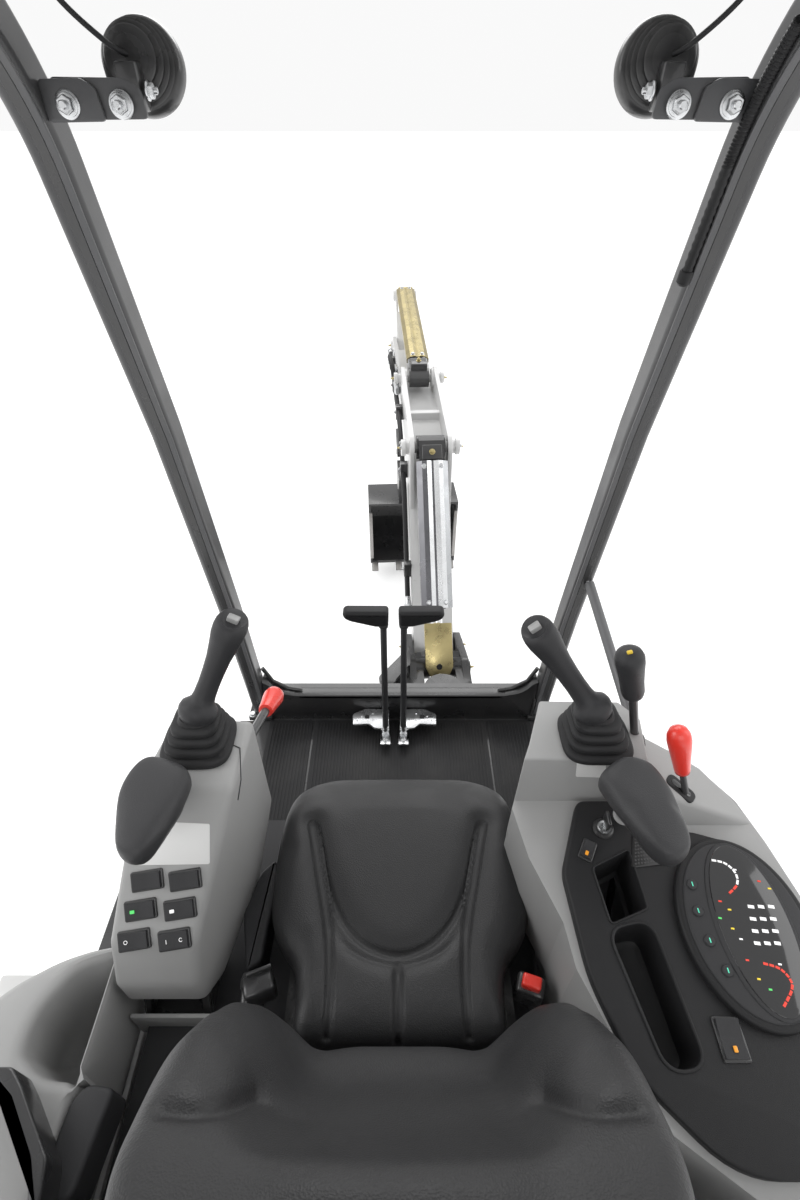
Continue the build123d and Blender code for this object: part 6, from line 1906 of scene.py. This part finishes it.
# swing post and bucket details
spb = Bin("swing_post_bolts", M["steel"], "post", "steel", 40)
for n_, d in ((118, 1), (-118, -1)):
    for (s_, z_) in ((CF[0] + 18, CF[1] + 14), (CF[0] - 16, CF[1] - 14)):
        spb.bolt(B(s_, z_, n_ - 6 * d), BN * d, 0.012, 0.007)
spb.build()
spg = Bin("swing_post_nipples", M["zinc"], "post", "zinc", 40)
for (c_, n_) in ((BF, 120), (BF, -120), (CF, 118), (CF, -118)):
    spg.lathe([(0.006, 0), (0.006, 0.004), (0.004, 0.005), (0.0042, 0.009), (0.0026, 0.011), (0.0032, 0.0135), (0.0018, 0.015)], B(c_[0], c_[1], n_), BN if n_ > 0 else -BN, 12)
spg.build()

bk = Bin("bucket_wear_edge", M["worn"], "bucket", "black", 40)
for n0 in (-236, 224):
    bk.box(B(1400, 300, n0 + 6), (0.018, 0.030, 0.30), Matrix.Rotation(SW, 3, "Z"), 0.003, 2)
bk.build()
bt_ = Bin("bucket_tooth_points", M["worn"], "bucket", "black", 40)
for n0 in (-232, -97, 62, 197):
    c = B(1372, 104, n0 + 17.5)
    bt_.box(c, (0.030, 0.050, 0.016), Matrix.Rotation(SW, 3, "Z") @ Matrix.Rotation(radians(30), 3, "X"), 0.004, 2)
bt_.build()

# ------------------------------------------------------------------ tracks
TC, TRR = 750.0, 178.0


def belt_point(s_):
    """Belt's outer line: place, and outward direction, in the side view."""
    L1, L2 = 2 * TC, pi * TRR
    tot = 2 * L1 + 2 * L2
    s_ %= tot
    if s_ < L1:
        return (-TC + s_, 200 + TRR), (0, 1)
    s_ -= L1
    if s_ < L2:
        g = pi / 2 - s_ / TRR
        return (TC + TRR * cos(g), 200 + TRR * sin(g)), (cos(g), sin(g))
    s_ -= L2
    if s_ < L1:
        return (TC - s_, 200 - TRR), (0, -1)
    s_ -= L1
    g = -pi / 2 - s_ / TRR
    return (-TC + TRR * cos(g), 200 + TRR * sin(g)), (cos(g), sin(g))


TOT = 4 * TC + 2 * pi * TRR
NP = 52
for side, x0, x1 in (("left", -750, -450), ("right", 450, 750)):
    tr = Bin("track_belt_" + side, M["rubber"], "undercarriage", "rubber", 40)
    # belt body
    NB = 208
    rs_ = []
    for k in range(NB):
        (y, z), (ny, nz) = belt_point(TOT * k / NB)
        ring = []
        for xo, h in ((x0, -4), (x0 + 6, 0), (x1 - 6, 0), (x1, -4), (x1, -22), (x1 - 8, -28), (x0 + 8, -28), (x0, -22)):
            ring.append(W(xo, y + ny * h, z + nz * h))
        rs_.append(ring)
    rs_.append(rs_[0])
    vs_, fs_ = rings(rs_[:-1], cap=False)
    n_ = 8
    m_ = NB - 1
    for k in range(n_):
        k2 = (k + 1) % n_
        fs_.append((m_ * n_ + k, m_ * n_ + k2, k2, k))
    tr.add(vs_, fs_)
    for k in range(NP):
        (y, z), (ny, nz) = belt_point(TOT * (k + 0.5) / NP)
        rot = Matrix(((1, 0, 0), (0, nz, ny), (0, -ny, nz)))
        for j, (xa, xb, sh_) in enumerate(((x0 + 4, x0 + 168, 0.0), (x1 - 168, x1 - 4, 0.5))):
            (y, z), (ny, nz) = belt_point(TOT * (k + 0.5 + sh_) / NP)
            rot = Matrix(((1, 0, 0), (0, nz, ny), (0, -ny, nz)))
            bm = bmesh.new()
            bmesh.ops.create_cube(bm, size=1.0)
            for v in bm.verts:
                top = v.co.z > 0
                v.co = Vector((v.co.x * (xb - xa - (14 if top else 0)) * mm, v.co.y * (20 if top else 36) * mm, (0.0215 if top else -0.004)))
            bmesh.ops.bevel(bm, geom=bm.edges[:], offset=0.002, segments=1, affect="EDGES", clamp_overlap=True)
            tr._bm(bm, W((xa + xb) / 2, y, z), rot)
        # guide lugs inside
        (y, z), (ny, nz) = belt_point(TOT * (k + 0.5) / NP)
        rot = Matrix(((1, 0, 0), (0, nz, ny), (0, -ny, nz)))
        for xg in ((x0 + x1) / 2 - 32, (x0 + x1) / 2 + 32):
            tr.box(W(xg, y - ny * 38, z - nz * 38), (0.018, 0.026, 0.026), rot, 0.004, 1)
    o_ = tr.build()
    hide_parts("track_" + side)

ub = Bin("undercarriage_bolts", M["steel"], "undercarriage", "steel", 40)
for sx in (-1, 1):
    for k in range(9):
        g = 2 * pi * k / 9
        ub.bolt(W(sx * 712, 750 + 46 * cos(g), 200 + 46 * sin(g)), (sx, 0, 0), 0.014, 0.009)
        ub.bolt(W(sx * 620, 750 + 104 * cos(g), 200 + 104 * sin(g)), (sx, 0, 0), 0.015, 0.010)
    for y in (-480, -240, 0, 240, 480):
        ub.bolt(W(sx * 671, y, 132), (sx, 0, 0), 0.015, 0.009)
ub.build()

# ------------------------------------------------------------------ rear of the house
hd = Bin("hood_latch", M["black"], "hood", "black", 40)
hd.box(W(0, -771, 1010), (0.110, 0.010, 0.040), bevel=0.004)
hd.box(W(0, -777, 1014), (0.084, 0.008, 0.016), bevel=0.003)
hd.build()
hv = Bin("hood_vents", M["dark_plastic"], "hood", "dark_plastic", 40)
for sx in (-1, 1):
    for k in range(7):
        x_ = sx * 220
        y_ = -math.sqrt(770.0 ** 2 - 220 ** 2)
        g = atan2(x_, -y_)
        hv.box(W(x_, y_ - 0.5, 1060 + 17 * k), (0.190, 0.006, 0.0075), Matrix.Rotation(-math.asin(-x_ / 770.0), 3, "Z"), 0.002, 1)
hv.build()
hb = Bin("cover_bolts", M["steel"], "house", "steel", 40)
for sx in (-1, 1):
    for y_ in (-380, -200, 100 if sx > 0 else -160):
        hb.bolt(W(sx * 745, y_, 620), (sx, 0, 0), 0.015, 0.008)
for x_ in (-300, 0, 300):
    y_ = -math.sqrt(785.0 ** 2 - x_ ** 2)
    hb.bolt(W(x_, y_, 700), (x_ / 785.0, y_ / 785.0, 0), 0.024, 0.014)
hb.build()
sp_ = Bin("access_steps", M["steel"], "house", "steel", 40)
for sx in (-1, 1):
    for k in range(6):
        sp_.box(W(sx * 437, 190 + 70 * k, 711.5), (0.014, 0.052, 0.003), bevel=0.001, seg=1)
sp_.build()
rs_n = Bin("roof_seams", M["dark_plastic"], "house", "dark_plastic", 40)
for sx in (-1, 1):
    rs_n.box(W(sx * 372, -160, 2337), (0.012, 0.98, 0.010), bevel=0.003)
rs_n.build()
